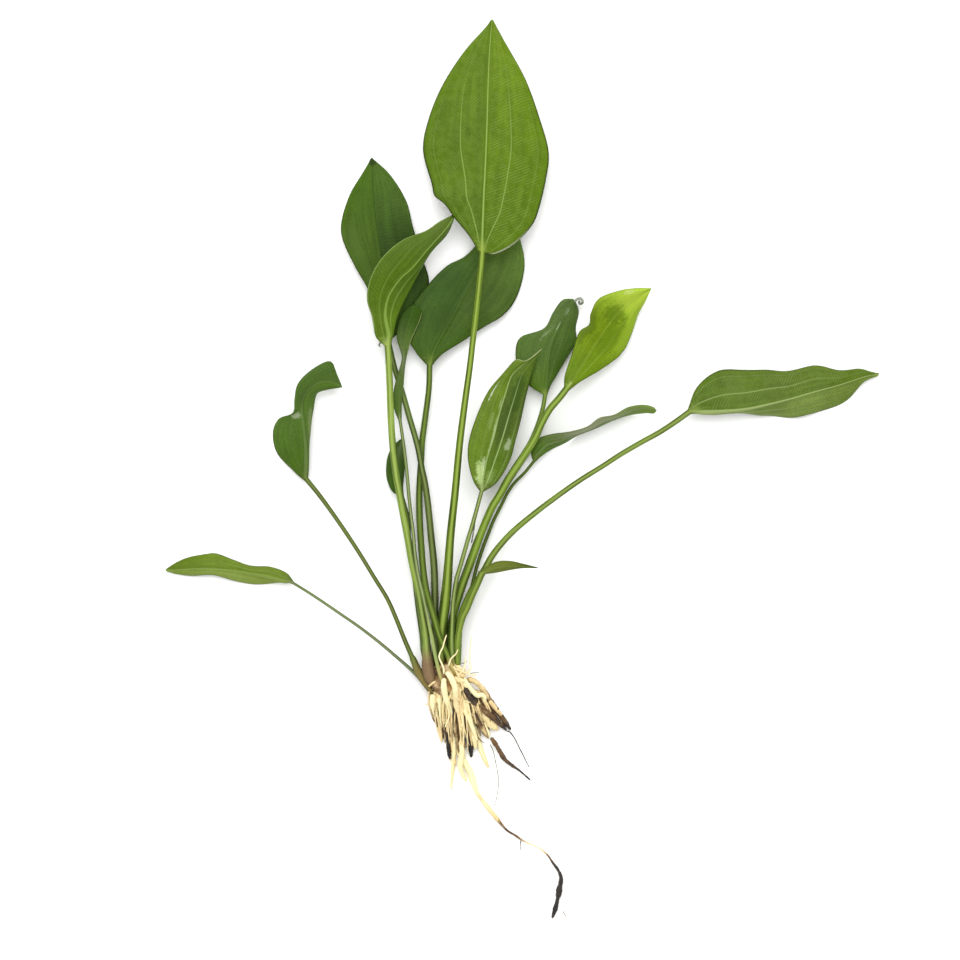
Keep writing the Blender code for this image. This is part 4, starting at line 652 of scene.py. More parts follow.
class RootLook(bpy.types.PropertyGroup):
    """Colours and surface of the roots and the crown."""

    cream: bpy.props.FloatVectorProperty(
        name="Cream", description="Colour of a living root", size=3,
        default=(0.80, 0.73, 0.42), subtype="COLOR")
    tan: bpy.props.FloatVectorProperty(
        name="Tan", description="Colour of an ageing root", size=3,
        default=(0.72, 0.55, 0.27), subtype="COLOR")
    brown: bpy.props.FloatVectorProperty(
        name="Brown", description="Colour of a withered root", size=3,
        default=(0.12, 0.062, 0.020), subtype="COLOR")
    black: bpy.props.FloatVectorProperty(
        name="Black", description="Colour of a dead root", size=3,
        default=(0.009, 0.007, 0.005), subtype="COLOR")
    lumps: bpy.props.FloatProperty(
        name="Lumps", description="Share of its radius by which a root swells and shrinks",
        default=0.16, subtype="FACTOR")
    around: bpy.props.IntProperty(
        name="Points around", description="Points of each ring of a root", default=14)
    step: bpy.props.FloatProperty(
        name="Step", description="Distance between two rings of a root", default=0.0003,
        unit="LENGTH", precision=5)
    crown_radii: bpy.props.FloatVectorProperty(
        name="Crown radii", description="Half the crown's width, length and height",
        size=3, default=(0.0056, 0.0056, 0.0044), subtype="XYZ", unit="LENGTH")


def paint(seen, scale=1.0):
    """Linear colour with alpha for a colour as seen (sRGB 0 to 255), times a scale."""
    share = np.array(seen, float) / 255
    linear = np.where(share <= 0.04045, share / 12.92, ((share + 0.055) / 1.055) ** 2.4)
    return (*(linear * scale), 1.0)


def smooth_path(points, times):
    """Catmull-Rom curve: the cubic through four neighbouring points, time n at point n."""
    held = np.asarray(points, float)
    padded = np.vstack([2 * held[0] - held[1], held, 2 * held[-1] - held[-2]])
    times = np.clip(np.asarray(times, float), 0.0, len(held) - 1)
    start = np.minimum(times.astype(int), len(held) - 2)
    t = (times - start)[:, None]
    p0, p1, p2, p3 = (padded[start + k] for k in range(4))
    return 0.5 * (2 * p1 + (p2 - p0) * t + (2 * p0 - 5 * p1 + 4 * p2 - p3) * t ** 2
                  + (3 * p1 - p0 - 3 * p2 + p3) * t ** 3)


def even_times(points, step):
    """Times at which the curve through the points has run equal lengths of about a step."""
    fine = np.linspace(0, len(points) - 1, 40 * len(points))
    curve = smooth_path(points, fine)
    run = np.concatenate([[0.0], np.cumsum(np.linalg.norm(np.diff(curve, axis=0), axis=1))])
    count = max(4, int(round(run[-1] / step)))
    return np.interp(np.linspace(0, run[-1], count + 1), run, fine), run[-1]


def unit(vectors):
    """The vectors at length one."""
    return vectors / np.maximum(np.linalg.norm(vectors, axis=-1, keepdims=True), 1e-9)


def ease(values, low, high):
    """0 below low, 1 above high, and 3t^2 - 2t^3 between them."""
    t = np.clip((np.asarray(values, float) - low) / (high - low), 0, 1)
    return t * t * (3 - 2 * t)


def closed_loft(name, rings, fields, tip=None):
    """A closed mesh from a grid of rings (rows, around, 3) in millimetres.

    Face (i, j) joins points j and j+1 of rings i and i+1; each end is closed by a fan to the
    middle of its ring, or to the given tip. Each field is a grid of three values a point,
    stored as an attribute.
    """
    rows, around, _ = rings.shape
    last_point = rings[-1].mean(axis=0) if tip is None else np.array(tip, float)
    ends = np.stack([rings[0].mean(axis=0), last_point])
    points = (np.vstack([rings.reshape(-1, 3), ends]) + SHIFT) * MM
    i, j = np.meshgrid(np.arange(rows - 1), np.arange(around), indexing="ij")
    here, after = i * around, (i + 1) * around
    following = (j + 1) % around
    quads = np.stack([here + j, here + following, after + following, after + j], axis=-1)
    k = np.arange(around)
    turn = (k + 1) % around
    foot = np.stack([turn, k, np.full(around, rows * around)], axis=-1)
    last = (rows - 1) * around
    head = np.stack([last + k, last + turn, np.full(around, rows * around + 1)], axis=-1)
    corners = points[quads.reshape(-1, 4)]
    volume = np.einsum("ij,ij->", np.cross(corners[:, 0], corners[:, 1]), corners[:, 2])
    volume += np.einsum("ij,ij->", np.cross(corners[:, 0], corners[:, 2]), corners[:, 3])
    faces = quads.reshape(-1, 4).tolist() + foot.tolist() + head.tolist()
    if volume < 0:
        faces = [face[::-1] for face in faces]
    mesh = bpy.data.meshes.new(name)
    mesh.from_pydata(points.tolist(), [], faces)
    for title, grid in fields.items():
        ends = np.stack([grid[0].mean(axis=0), grid[-1].mean(axis=0)])
        values = np.vstack([grid.reshape(-1, 3), ends]).astype(np.float32)
        mesh.attributes.new(title, "FLOAT_VECTOR", "POINT").data.foreach_set(
            "vector", values.ravel())
    mesh.shade_smooth()
    mesh.update()
    return mesh


def add_piece(name, mesh, finish, slot, *nodes):
    """Put a finished mesh on the root body, standing for the named nodes of the frame."""
    mesh.materials.append(finish)
    piece = bpy.data.objects.new(name, mesh)
    bpy.context.scene.collection.objects.link(piece)
    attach(piece, BODY)
    if nodes:
        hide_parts(*nodes)
    return piece


def leaf_mesh(name, shape, look, settings):
    """A leaf as one lofted skin.

    Ring point k has the angle a = 2 pi k / n. On the stalk it is the centre plus r cos(a) to
    the left and r sin(a) up. On the blade its share across is u, which runs evenly from 1 at
    the left edge to -1 at the right one and back underneath; the point is the midrib plus
    |u|^p of the way to that edge, plus along the normal the arch 4u(1 - u), the margin's wave,
    a bell at the midrib and at each side vein, and the skin's thickness.
    """
    thin, rib = settings.blade_thickness / MM, settings.rib_height / MM
    vein, step, around = settings.vein_height / MM, settings.step / MM, settings.around
    route = [point for point, _ in shape["foot"]] + shape["stalk"][shape.get("skip", 0):]
    stalk_times, stalk_length = even_times(route, 1.4 * step)
    centre = smooth_path(route, stalk_times)
    share = stalk_times / stalk_times[-1]
    radius = np.interp(share, np.linspace(0, 1, len(shape["radii"])), shape["radii"])
    joint = len(shape["foot"])
    spots = [*range(joint), joint + 0.5]
    swollen = np.interp(stalk_times, spots, [r for _, r in shape["foot"]] + [shape["radii"][0]])
    radius = np.where(stalk_times < joint + 0.5, swollen, radius)
    ahead = unit(np.gradient(centre, axis=0))
    left = unit(np.cross((0.0, 0.0, 1.0), ahead))
    top = np.cross(ahead, left)
    end_left, end_radius = left[-1], radius[-1]
    base = (centre[-1] + end_radius * end_left, centre[-1], centre[-1] - end_radius * end_left)
    rails = [[base[k]] + [row[k] for row in shape["stations"]] + [shape["tip"]]
             for k in range(3)]
    times, length = even_times(rails[1], step)
    times = times[1:-1]
    edge_left, middle, edge_right = (smooth_path(rail, times) for rail in rails)
    run = np.linspace(0, 1, len(times) + 2)[1:-1]
    near = smooth_path(rails[1], np.concatenate([times - 0.15, times + 0.15]))
    near = near.reshape(2, -1, 3)
    forward = unit(near[1] - near[0])
    flat = ease(run, 0.0, 0.085)[:, None]
    up_left = unit(np.cross(forward, edge_left - middle))
    up_right = unit(np.cross(forward, middle - edge_right))
    up_left = unit((1 - flat) * top[-1] + flat * up_left)
    up_right = unit((1 - flat) * top[-1] + flat * up_right)

    k = np.arange(around)
    angle = 2 * np.pi * k / around
    even = 1 - 4 * np.minimum(k, around - k) / around
    turned, above = np.cos(angle), np.sin(angle)
    across = (1 - flat) * turned + flat * even
    lean = 1 + shape["lean"] * (0.55 - run)[:, None] * flat
    reach = np.abs(across) ** lean
    is_left = (across >= 0)[..., None]
    to_edge = np.where(is_left, (edge_left - middle)[:, None], (edge_right - middle)[:, None])
    up = np.where(is_left, up_left[:, None], up_right[:, None])
    blend = ease(np.abs(across), 0.0, 0.12)[..., None]
    up = unit((1 - blend) * unit(up_left + up_right)[:, None] + blend * up)
    half_width = np.linalg.norm(to_edge, axis=-1)
    offset = reach * half_width
    height, count, phase = shape["wave"]
    rise = 4 * reach * (1 - reach) * shape["arch"] * flat
    rise += height * reach ** 2 * flat * np.sin(
        2 * np.pi * (count * run[:, None] + phase + 0.37 * (across < 0)))
    fade = (1 - run)[:, None]
    bell = np.exp(-(offset / (0.25 + 0.55 * end_radius * fade)) ** 2)
    rib_out = (rib + 0.75 * end_radius * fade ** 1.5) * bell * flat
    side = sum(np.exp(-(((np.abs(across) - spot) * half_width) / 0.45) ** 2)
               for spot in SIDE_VEINS)
    vein_out = vein * np.where(across >= 0, *look["lateral"]) * side * flat * fade
    skin = thin * (1 - np.abs(across) ** 8) * flat + (1 - flat) * end_radius * np.abs(above)
    side_sign = np.sign(above)
    side_sign[np.abs(above) < 1e-6] = 0
    lift = rise + side_sign * (skin + rib_out + vein_out)
    blade = middle[:, None] + reach[..., None] * to_edge + lift[..., None] * up
    stalk = (centre[:, None] + radius[:, None, None] * (
        turned[None, :, None] * left[:, None] + above[None, :, None] * top[:, None]))

    rings = np.concatenate([stalk, blade])
    signed = np.sign(across)
    blade_field = np.stack([across, run[:, None] + 0 * across, flat + 0 * across], axis=-1)
    evenly = np.linspace(-1, 0, len(stalk_times))[:, None]
    stalk_field = np.stack(np.broadcast_arrays(turned[None], evenly, 0.0 * turned[None]), axis=-1)
    blade_span = np.stack([signed * offset, length * run[:, None] + 0 * offset, half_width],
                          axis=-1)
    stalk_span = np.stack(np.broadcast_arrays(
        turned * radius[:, None], stalk_length * evenly, radius[:, None]), axis=-1)
    fields = {"blade": np.concatenate([stalk_field, blade_field]),
              "span": np.concatenate([stalk_span, blade_span])}
    return closed_loft(name, rings, fields, shape["tip"])


def tube_mesh(name, route, radii, tones, settings, seed, lumps=1.0, around=None):
    """A root as a lumpy tube: the path plus r (cos(a) side + sin(a) up).

    r runs through the given radii and swells and shrinks by three sines of the length and one
    of the angle. The ends are rounded by a quarter ellipse, over one radius at the start and
    over three at the tip.
    """
    around = around or settings.around
    times, length = even_times(route, settings.step / MM)
    centre = smooth_path(route, times)
    share = times / times[-1]
    run = share * length
    radius = np.interp(share, np.linspace(0, 1, len(radii)), radii)
    tone = np.interp(share, np.linspace(0, 1, len(tones)), tones)
    ahead = unit(np.gradient(centre, axis=0))
    side = unit(np.cross(ahead, (0.0, 0.0, 1.0)))
    up = np.cross(side, ahead)
    shift = np.random.default_rng(seed).uniform(0, 6.28, 6)
    swell = (0.5 * np.sin(run * 1.1 + shift[0]) + 0.35 * np.sin(run * 2.3 + shift[1])
             + 0.3 * np.sin(run * 4.9 + shift[2]))
    round_start = np.sqrt(1 - (1 - np.clip(run / radius[0], 0.02, 1)) ** 2)
    round_end = np.sqrt(1 - (1 - np.clip((length - run) / (3 * radius[-1]), 0.02, 1)) ** 2)
    angle = 2 * np.pi * np.arange(around) / around
    ridge = 0.45 * np.sin(2 * angle[None] + 0.5 * run[:, None] + shift[3]) + 0.3 * np.sin(
        3 * angle[None] - 0.8 * run[:, None] + shift[4])
    age = 0.45 + 0.9 * tone[:, None]
    bumpy = 1 + settings.lumps * lumps * (swell[:, None] + ridge) * age
    reach = (radius * round_start * round_end)[:, None] * bumpy
    rings = centre[:, None] + reach[..., None] * (
        np.cos(angle)[None, :, None] * side[:, None] + np.sin(angle)[None, :, None] * up[:, None])
    floor = 0.03
    rings[..., 2] = np.maximum(rings[..., 2], floor)
    field = np.stack(np.broadcast_arrays(
        tone[:, None], run[:, None], np.sin(angle)[None]), axis=-1)
    return closed_loft(name, rings, {"root": field})


def mat_mesh(name, mat, settings):
    """Many fine roots as one mesh: strand k runs from share k/n along the mat's top line to
    the same share, moved a little by chance, along the line of its ends, with a sideways bow.
    """
    chance = np.random.default_rng(mat["seed"])
    joined = bmesh.new()
    for number in range(mat["strands"]):
        share = (number + 0.5) / mat["strands"]
        slip = np.clip(share + chance.uniform(-0.08, 0.08), 0, 1)
        top = smooth_path(mat["top"], [share * (len(mat["top"]) - 1)])[0]
        end = smooth_path(mat["end"], [slip * (len(mat["end"]) - 1)])[0]
        bow = chance.uniform(-1.1, 1.1, 2)
        lift = chance.uniform(0.0, 1.6)
        t = np.linspace(0, chance.uniform(0.6, 1.0), 6)[:, None]
        route = top + (end - top) * t + np.sin(np.pi * t) * (bow[0], 0.4 * bow[1], lift)
        tones = (chance.uniform(*mat["young"]), chance.uniform(*mat["old"]))
        thick = chance.uniform(*mat["thick"])
        radii = (thick, 0.9 * thick, chance.uniform(*mat["thin"]))
        strand = tube_mesh(name, route, radii, tones, settings, mat["seed"] + number, 0.8, 8)
        joined.from_mesh(strand)
        bpy.data.meshes.remove(strand)
    mesh = bpy.data.meshes.new(name)
    joined.to_mesh(mesh)
    joined.free()
    return mesh


def crown_mesh(name, centre, radii, seed):
    """The crown as a lumpy egg: centre plus radii times the direction times its lump.

    The lump is one plus bells around scattered knob directions plus two slow sines.
    """
    rows, around = 90, 150
    polar = np.linspace(0.012, np.pi - 0.012, rows)
    turn = 2 * np.pi * np.arange(around) / around
    way = np.stack(np.broadcast_arrays(
        np.sin(polar)[:, None] * np.cos(turn), np.cos(polar)[:, None] * 1.0,
        np.sin(polar)[:, None] * np.sin(turn)), axis=-1)
    chance = np.random.default_rng(seed)
    knobs = unit(chance.normal(size=(46, 3)))
    sizes = chance.uniform(0.12, 0.3, 46)
    tall = chance.uniform(-0.05, 0.22, 46)
    near = np.einsum("ijk,nk->ijn", way, knobs)
    bells = (tall * np.exp(-((1 - near) * 2 / sizes ** 2))).sum(axis=-1)
    slow = 0.05 * np.sin(5 * way[..., 0] + 2) * np.cos(6 * way[..., 1]) + 0.03 * np.sin(
        11 * way[..., 2] + 4 * way[..., 0])
    lump = 0.93 + bells + slow
    rings = np.array(centre) + way * lump[..., None] * np.array(radii)
    field = np.stack([bells * 4, slow * 8, way[..., 0]], axis=-1)
    return closed_loft(name, rings, {"root": field})


SIDE_VEINS = (0.43, 0.84)
SIDE_VEIN_SHOW = (1.0, 0.28)
CROWN_CENTRE = (-0.9, -5.8, 5.5)


class Wiring:
    """Short calls that add nodes to one tree and join them."""

    def __init__(self, tree):
        self.tree = tree

    def put(self, socket, value):
        """Set a socket to a constant, or join it to another socket."""
        if isinstance(value, bpy.types.NodeSocket):
            self.tree.links.new(value, socket)
        else:
            socket.default_value = value

    def add(self, kind, inputs=(), **settings):
        """A node of a kind with its settings and its named or numbered inputs."""
        node = self.tree.nodes.new(kind)
        for title, value in settings.items():
            setattr(node, title, value)
        for key, value in dict(inputs).items():
            self.put(node.inputs[key], value)
        return node

    def math(self, operation, first, second=0.0, clamp=False):
        """One step of arithmetic."""
        node = self.add("ShaderNodeMath", {0: first, 1: second}, operation=operation)
        node.use_clamp = clamp
        return node.outputs[0]

    def span(self, value, low, high, start=0.0, end=1.0):
        """A smooth step of a value from start at low to end at high."""
        node = self.add("ShaderNodeMapRange",
                        {"Value": value, "From Min": low, "From Max": high,
                         "To Min": start, "To Max": end}, interpolation_type="SMOOTHSTEP")
        return node.outputs["Result"]

    def mix(self, share, low, high, kind="MIX"):
        """A mix of two colours."""
        node = self.add("ShaderNodeMix", data_type="RGBA", blend_type=kind)
        self.put(node.inputs["Factor"], share)
        self.put(node.inputs[6], low)
        self.put(node.inputs[7], high)
        return node.outputs[2]

    def ramp(self, value, stops):
        """A colour ramp through (place, colour) stops."""
        node = self.add("ShaderNodeValToRGB", {"Fac": value})
        band = node.color_ramp
        band.interpolation = "EASE"
        while len(band.elements) < len(stops):
            band.elements.new(0.5)
        for element, (place, colour) in zip(band.elements, stops):
            element.position = place
            element.color = colour
        return node.outputs["Color"]

    def parts(self, attribute):
        """The three values of a piece's own vector attribute."""
        read = self.add("ShaderNodeAttribute", attribute_name=attribute)
        split = self.add("ShaderNodeSeparateXYZ", {0: read.outputs["Vector"]})
        return split.outputs[0], split.outputs[1], split.outputs[2]

    def noise(self, scale, detail=3.0, stretch=None):
        """Noise on the object's own coordinates, or on a given vector."""
        vector = stretch or self.add("ShaderNodeTexCoord").outputs["Object"]
        node = self.add("ShaderNodeTexNoise",
                        {"Vector": vector, "Scale": scale, "Detail": detail})
        return node.outputs["Fac"]


def new_group(name, sockets_in, sockets_out):
    """An empty shader group with named float sockets, its wiring, inputs and outputs."""
    tree = bpy.data.node_groups.new(name, "ShaderNodeTree")
    for title, default in sockets_in:
        made = tree.interface.new_socket(title, in_out="INPUT", socket_type="NodeSocketFloat")
        made.default_value = default
    for title in sockets_out:
        tree.interface.new_socket(title, in_out="OUTPUT", socket_type="NodeSocketFloat")
    wiring = Wiring(tree)
    entry = wiring.add("NodeGroupInput")
    leave = wiring.add("NodeGroupOutput")
    return wiring, entry.outputs, leave.inputs


def vein_group():
    """Leaf veins: the midrib, the side veins, and cross veins that rise outwards."""
    name = "Leaf veins"
    if name in bpy.data.node_groups:
        return bpy.data.node_groups[name]
    sockets = (("Across", 0.0), ("Along", 0.0), ("Offset", 0.0), ("Length", 0.0),
               ("Half Width", 1.0), ("Rib Width", 0.5), ("Pitch", 1.3), ("Rise Left", 0.8),
               ("Rise Right", 0.5))
    w, given, out = new_group(name, sockets, ("Midrib", "Side", "Ladder", "Height"))
    out_from_rib = w.math("ABSOLUTE", given["Offset"])
    share = w.math("ABSOLUTE", given["Across"])
    taper = w.math("MULTIPLY_ADD", given["Along"], -0.65)
    taper.node.inputs[2].default_value = 1.0
    width = w.math("MULTIPLY", taper, given["Rib Width"])
    midrib = w.span(w.math("DIVIDE", out_from_rib, width), 0.25, 1.0, 1.0, 0.0)
    side = None
    for spot, show in zip(SIDE_VEINS, SIDE_VEIN_SHOW):
        apart = w.math("ABSOLUTE", w.math("SUBTRACT", share, spot))
        far = w.math("MULTIPLY", apart, given["Half Width"])
        line = w.span(far, 0.06, 0.34, show, 0.0)
        side = line if side is None else w.math("MAXIMUM", side, line)
    fade = w.span(given["Along"], 0.35, 0.85, 1.0, 0.15)
    side = w.math("MULTIPLY", side, fade)
    wobble = w.noise(110.0, 1.0)
    on_left = w.math("GREATER_THAN", given["Across"], 0.0)
    steeper = w.math("SUBTRACT", given["Rise Left"], given["Rise Right"])
    rise = w.math("ADD", w.math("MULTIPLY", on_left, steeper), given["Rise Right"])
    back = w.math("MULTIPLY", out_from_rib, rise)
    place = w.math("SUBTRACT", given["Length"], back)
    place = w.math("ADD", w.math("DIVIDE", place, given["Pitch"]),
                   w.math("MULTIPLY", wobble, 1.5))
    wave = w.math("SINE", w.math("MULTIPLY", place, 2 * math.pi))
    ladder = w.span(wave, -0.5, 1.0)
    broken = w.span(w.noise(420.0, 2.0), 0.35, 0.6)
    ladder = w.math("MULTIPLY", ladder, broken)
    ladder = w.math("MULTIPLY", ladder, w.span(share, 0.02, 0.1))
    ladder = w.math("MULTIPLY", ladder, w.span(share, 0.85, 1.0, 1.0, 0.2))
    height = w.math("ADD", w.math("MULTIPLY", midrib, 0.7), w.math("MULTIPLY", side, 0.5))
    height = w.math("ADD", height, w.math("MULTIPLY", ladder, 0.35))
    for title, value in zip(("Midrib", "Side", "Ladder", "Height"),
                            (midrib, side, ladder, height)):
        w.put(out[title], value)
    return w.tree


def patch_group():
    """Soft patch: a ragged oval spot at a place on the blade."""
    name = "Soft patch"
    if name in bpy.data.node_groups:
        return bpy.data.node_groups[name]
    sockets = (("Across", 0.0), ("Along", 0.0), ("Place Across", 0.0), ("Place Along", 0.5),
               ("Reach Across", 0.2), ("Reach Along", 0.1), ("Ragged", 1.1))
    w, given, out = new_group(name, sockets, ("Mask",))
    away = []
    for axis in ("Across", "Along"):
        apart = w.math("SUBTRACT", given[axis], given["Place " + axis])
        scaled = w.math("DIVIDE", apart, given["Reach " + axis])
        away.append(w.math("MULTIPLY", scaled, scaled))
    far = w.math("SQRT", w.math("ADD", *away))
    torn = w.math("ADD", w.noise(330.0, 3.0), w.noise(1300.0, 2.0))
    tear = w.math("MULTIPLY", w.math("SUBTRACT", torn, 1.0), given["Ragged"])
    w.put(out["Mask"], w.span(w.math("ADD", far, tear), 0.45, 1.15, 1.0, 0.0))
    return w.tree


def mottle_group():
    """Mottle: coarse clouds and fine grain as one value around 1."""
    name = "Mottle"
    if name in bpy.data.node_groups:
        return bpy.data.node_groups[name]
    sockets = (("Cloud Scale", 150.0), ("Cloud Depth", 0.12), ("Grain Scale", 1800.0),
               ("Grain Depth", 0.08))
    w, given, out = new_group(name, sockets, ("Value",))
    cloud = w.math("SUBTRACT", w.noise(given["Cloud Scale"], 3.0), 0.5)
    grain = w.math("SUBTRACT", w.noise(given["Grain Scale"], 2.0), 0.5)
    total = w.math("ADD", w.math("MULTIPLY", cloud, given["Cloud Depth"]),
                   w.math("MULTIPLY", grain, given["Grain Depth"]))
    w.put(out["Value"], w.math("ADD", total, 1.0))
    return w.tree


def new_material(name):
    """A material with a bare Principled shader, and its wiring."""
    made = bpy.data.materials.new(name)
    made.use_nodes = True
    shader = made.node_tree.nodes["Principled BSDF"]
    return made, Wiring(made.node_tree), shader


def leaf_material(name, look, settings):
    """Blade and stalk of one leaf: its greens, veins, edge, patches, painted edge highlights, and the
    stalk's painted highlight along its middle with painted shade on its sides.
    """
    scale = settings.shade_scale
    made, w, shader = new_material(name)
    across, along, on_blade = w.parts("blade")
    offset, length, half_width = w.parts("span")
    veins = w.add("ShaderNodeGroup", node_tree=vein_group())
    rises = look.get("rises", (0.7, 0.5))
    if look.get("straight"):
        shape = LEAF_SHAPES[name]
        east, north, _ = np.subtract(shape["tip"], shape["stalk"][-1])
        axis = unit(np.array((east, north, 0.0))) / MM
        spread = w.add("ShaderNodeTexCoord").outputs["Object"]
        length_way = w.add("ShaderNodeVectorMath", {0: spread, 1: axis}, operation="DOT_PRODUCT")
        ladder_length = length_way.outputs["Value"]
    else:
        ladder_length = length
    for title, value in (("Across", across), ("Along", along), ("Offset", offset),
                         ("Length", ladder_length), ("Half Width", half_width),
                         ("Pitch", settings.ladder_pitch / MM), ("Rise Left", rises[0]),
                         ("Rise Right", rises[1])):
        w.put(veins.inputs[title], value)
    sides = []
    for part in ("left", "right"):
        low, middle, high = (paint(tone, scale) for tone in look[part])
        sides.append(w.ramp(along, ((0.06, low), (0.5, middle), (0.92, high))))
    green = w.mix(w.span(across, -0.06, 0.06), sides[1], sides[0])
    mottle = w.add("ShaderNodeGroup", node_tree=mottle_group())
    w.put(mottle.inputs["Cloud Depth"], 0.45)
    w.put(mottle.inputs["Grain Depth"], 0.6)
    green = w.mix(1.0, green, mottle.outputs["Value"], "MULTIPLY")
    combed = w.add("ShaderNodeCombineXYZ", {
        0: w.math("MULTIPLY", across, 9.0), 1: w.math("MULTIPLY", along, 2.5)})
    green = w.mix(1.0, green, w.span(w.noise(1.0, 4.0, combed.outputs[0]), 0.25, 0.75, 0.86, 1.14),
                  "MULTIPLY")
    vein = paint(look["vein"], scale)
    lit = w.math("MULTIPLY", veins.outputs["Ladder"], 0.30 * look["ladder"])
    green = w.mix(lit, green, vein)
    for entry in LEAF_PATCHES.get(name, ()):
        place_across, place_along, reach_across, reach_along, tint, strength = entry
        spot = w.add("ShaderNodeGroup", {
            "Across": across, "Along": along, "Place Across": place_across,
            "Place Along": place_along, "Reach Across": reach_across,
            "Reach Along": reach_along}, node_tree=patch_group())
        amount = w.math("MULTIPLY", spot.outputs["Mask"], strength)
        green = w.mix(amount, green, paint(tint, scale))
    on_left, on_right = look["lateral"]
    shown = w.math("MULTIPLY", veins.outputs["Side"],
                   w.span(across, -0.01, 0.01, on_right, on_left))
    green = w.mix(shown, green, vein)
    green = w.mix(w.math("MULTIPLY", veins.outputs["Midrib"], look["midrib"]), green, vein)
    inward = w.math("MULTIPLY", w.math("SUBTRACT", 1.0, w.math("ABSOLUTE", across)), half_width)
    rim = w.math("MULTIPLY", w.span(inward, 0.05, 0.45, 1.0, 0.0), look["edge"])
    green = w.mix(rim, green, paint((74, 84, 40), scale))
    # Painted highlights: a pale band just inside one edge over a stretch of the blade.
    for which, start, end, tint, strength in look.get("rim_glints", ()):
        near = w.span(inward, 0.15, 0.5, strength, 0.0)
        near = w.math("MULTIPLY", near, w.math("GREATER_THAN", w.math("MULTIPLY", across, which), 0.0))
        near = w.math("MULTIPLY", near, w.span(along, start - 0.03, start + 0.03))
        near = w.math("MULTIPLY", near, w.span(along, end - 0.03, end + 0.03, 1.0, 0.0))
        green = w.mix(near, green, paint(tint, scale))
    backwards = w.math("ADD", along, 1.0)
    foot, middle, neck = (paint(tone, scale) for tone in look["stalk"])
    stem = w.ramp(backwards, ((0.05, foot), (0.45, middle), (0.98, neck)))
    stem = w.mix(1.0, stem, mottle.outputs["Value"], "MULTIPLY")
    drawn = w.add("ShaderNodeCombineXYZ", {
        0: w.math("MULTIPLY", across, 1.5), 1: w.math("MULTIPLY", length, 0.05), 2: half_width})
    stem = w.mix(1.0, stem, w.span(w.noise(1.5, 3.0, drawn.outputs[0]), 0.34, 0.66, 0.6, 1.4),
                 "MULTIPLY")
    around = w.math("ABSOLUTE", across)
    # Painted highlight along the crown of the round stalk, top and underside alike; below it, painted
    # shade darkens the stalk's sides.
    stem = w.mix(w.span(around, 0.1, 0.55, 0.9, 0.0), stem, paint(look["stalk_highlight"], scale))
    if "sheath" in look:
        tone, reach = look["sheath"]
        stem = w.mix(w.span(backwards, 0.5 * reach, reach, 0.92, 0.0), stem,
                     w.mix(1.0, paint(tone, scale), mottle.outputs["Value"], "MULTIPLY"))
    shade = w.mix(1.0, stem, (0.62, 0.66, 0.5, 1.0), "MULTIPLY")
    stem = w.mix(w.span(around, 0.6, 1.0, 0.0, 0.8), stem, shade)
    w.put(shader.inputs["Base Color"], w.mix(on_blade, stem, green))
    rough = w.math("MULTIPLY", mottle.outputs["Value"], look["gloss"])
    w.put(shader.inputs["Roughness"], rough)
    w.put(shader.inputs["Specular IOR Level"], 0.05)
    raised = w.math("MULTIPLY", veins.outputs["Height"], on_blade)
    raised = w.math("ADD", raised, w.math("MULTIPLY", mottle.outputs["Value"], 0.6))
    bump = w.add("ShaderNodeBump", {"Strength": 0.5, "Distance": 0.00025, "Height": raised})
    w.put(shader.inputs["Normal"], bump.outputs["Normal"])
    return made


def root_material(name, settings, rough, streaks):
    """Root skin: cream through tan and brown to black by the root's own tone."""
    made, w, shader = new_material(name)
    tone, run, height = w.parts("root")
    spread = w.add("ShaderNodeTexCoord").outputs["Object"]
    clouds = w.math("SUBTRACT", w.noise(520.0, 4.0, spread), 0.5)
    specks = w.math("SUBTRACT", w.noise(2400.0, 3.0, spread), 0.5)
    drawn = w.add("ShaderNodeCombineXYZ", {
        0: w.math("MULTIPLY", height, 2.2), 1: w.math("MULTIPLY", run, 0.22),
        2: w.math("MULTIPLY", tone, 5.0)})
    grooves = w.math("SUBTRACT", w.noise(1.6, 3.0, drawn.outputs[0]), 0.5)
    aged = w.math("ADD", tone, w.math("MULTIPLY", clouds, 1.3 * streaks))
    aged = w.math("ADD", aged, w.math("MULTIPLY", grooves, 1.7 * streaks))
    aged = w.math("ADD", aged, w.math("MULTIPLY", specks, 0.3 * streaks))
    stops = ((0.0, (*settings.cream, 1)), (0.38, (*settings.tan, 1)),
             (0.72, (*settings.brown, 1)), (1.0, (*settings.black, 1)))
    colour = w.ramp(aged, stops)
    w.put(shader.inputs["Base Color"], colour)
    w.put(shader.inputs["Roughness"], rough)
    w.put(shader.inputs["Specular IOR Level"], 0.35)
    rings = w.math("SINE", w.math("MULTIPLY", run, 9.0))
    raised = w.math("ADD", w.math("MULTIPLY", specks, 1.4), w.math("MULTIPLY", rings, 0.08))
    raised = w.math("ADD", raised, clouds)
    bump = w.add("ShaderNodeBump", {"Strength": 0.6, "Distance": 0.0002, "Height": raised})
    w.put(shader.inputs["Normal"], bump.outputs["Normal"])
    return made


def withered_material():
    """Grey withered tissue, mottled."""
    name = "withered_skin"
    found = bpy.data.materials.get(name)
    if found:
        return found
    made, w, shader = new_material(name)
    worn = w.noise(900.0, 3.0)
    dull = w.ramp(worn, ((0.35, paint((90, 96, 82))), (0.65, paint((152, 156, 140)))))
    w.put(shader.inputs["Base Color"], dull)
    w.put(shader.inputs["Roughness"], 0.6)
    w.put(shader.inputs["Specular IOR Level"], 0.2)
    return made


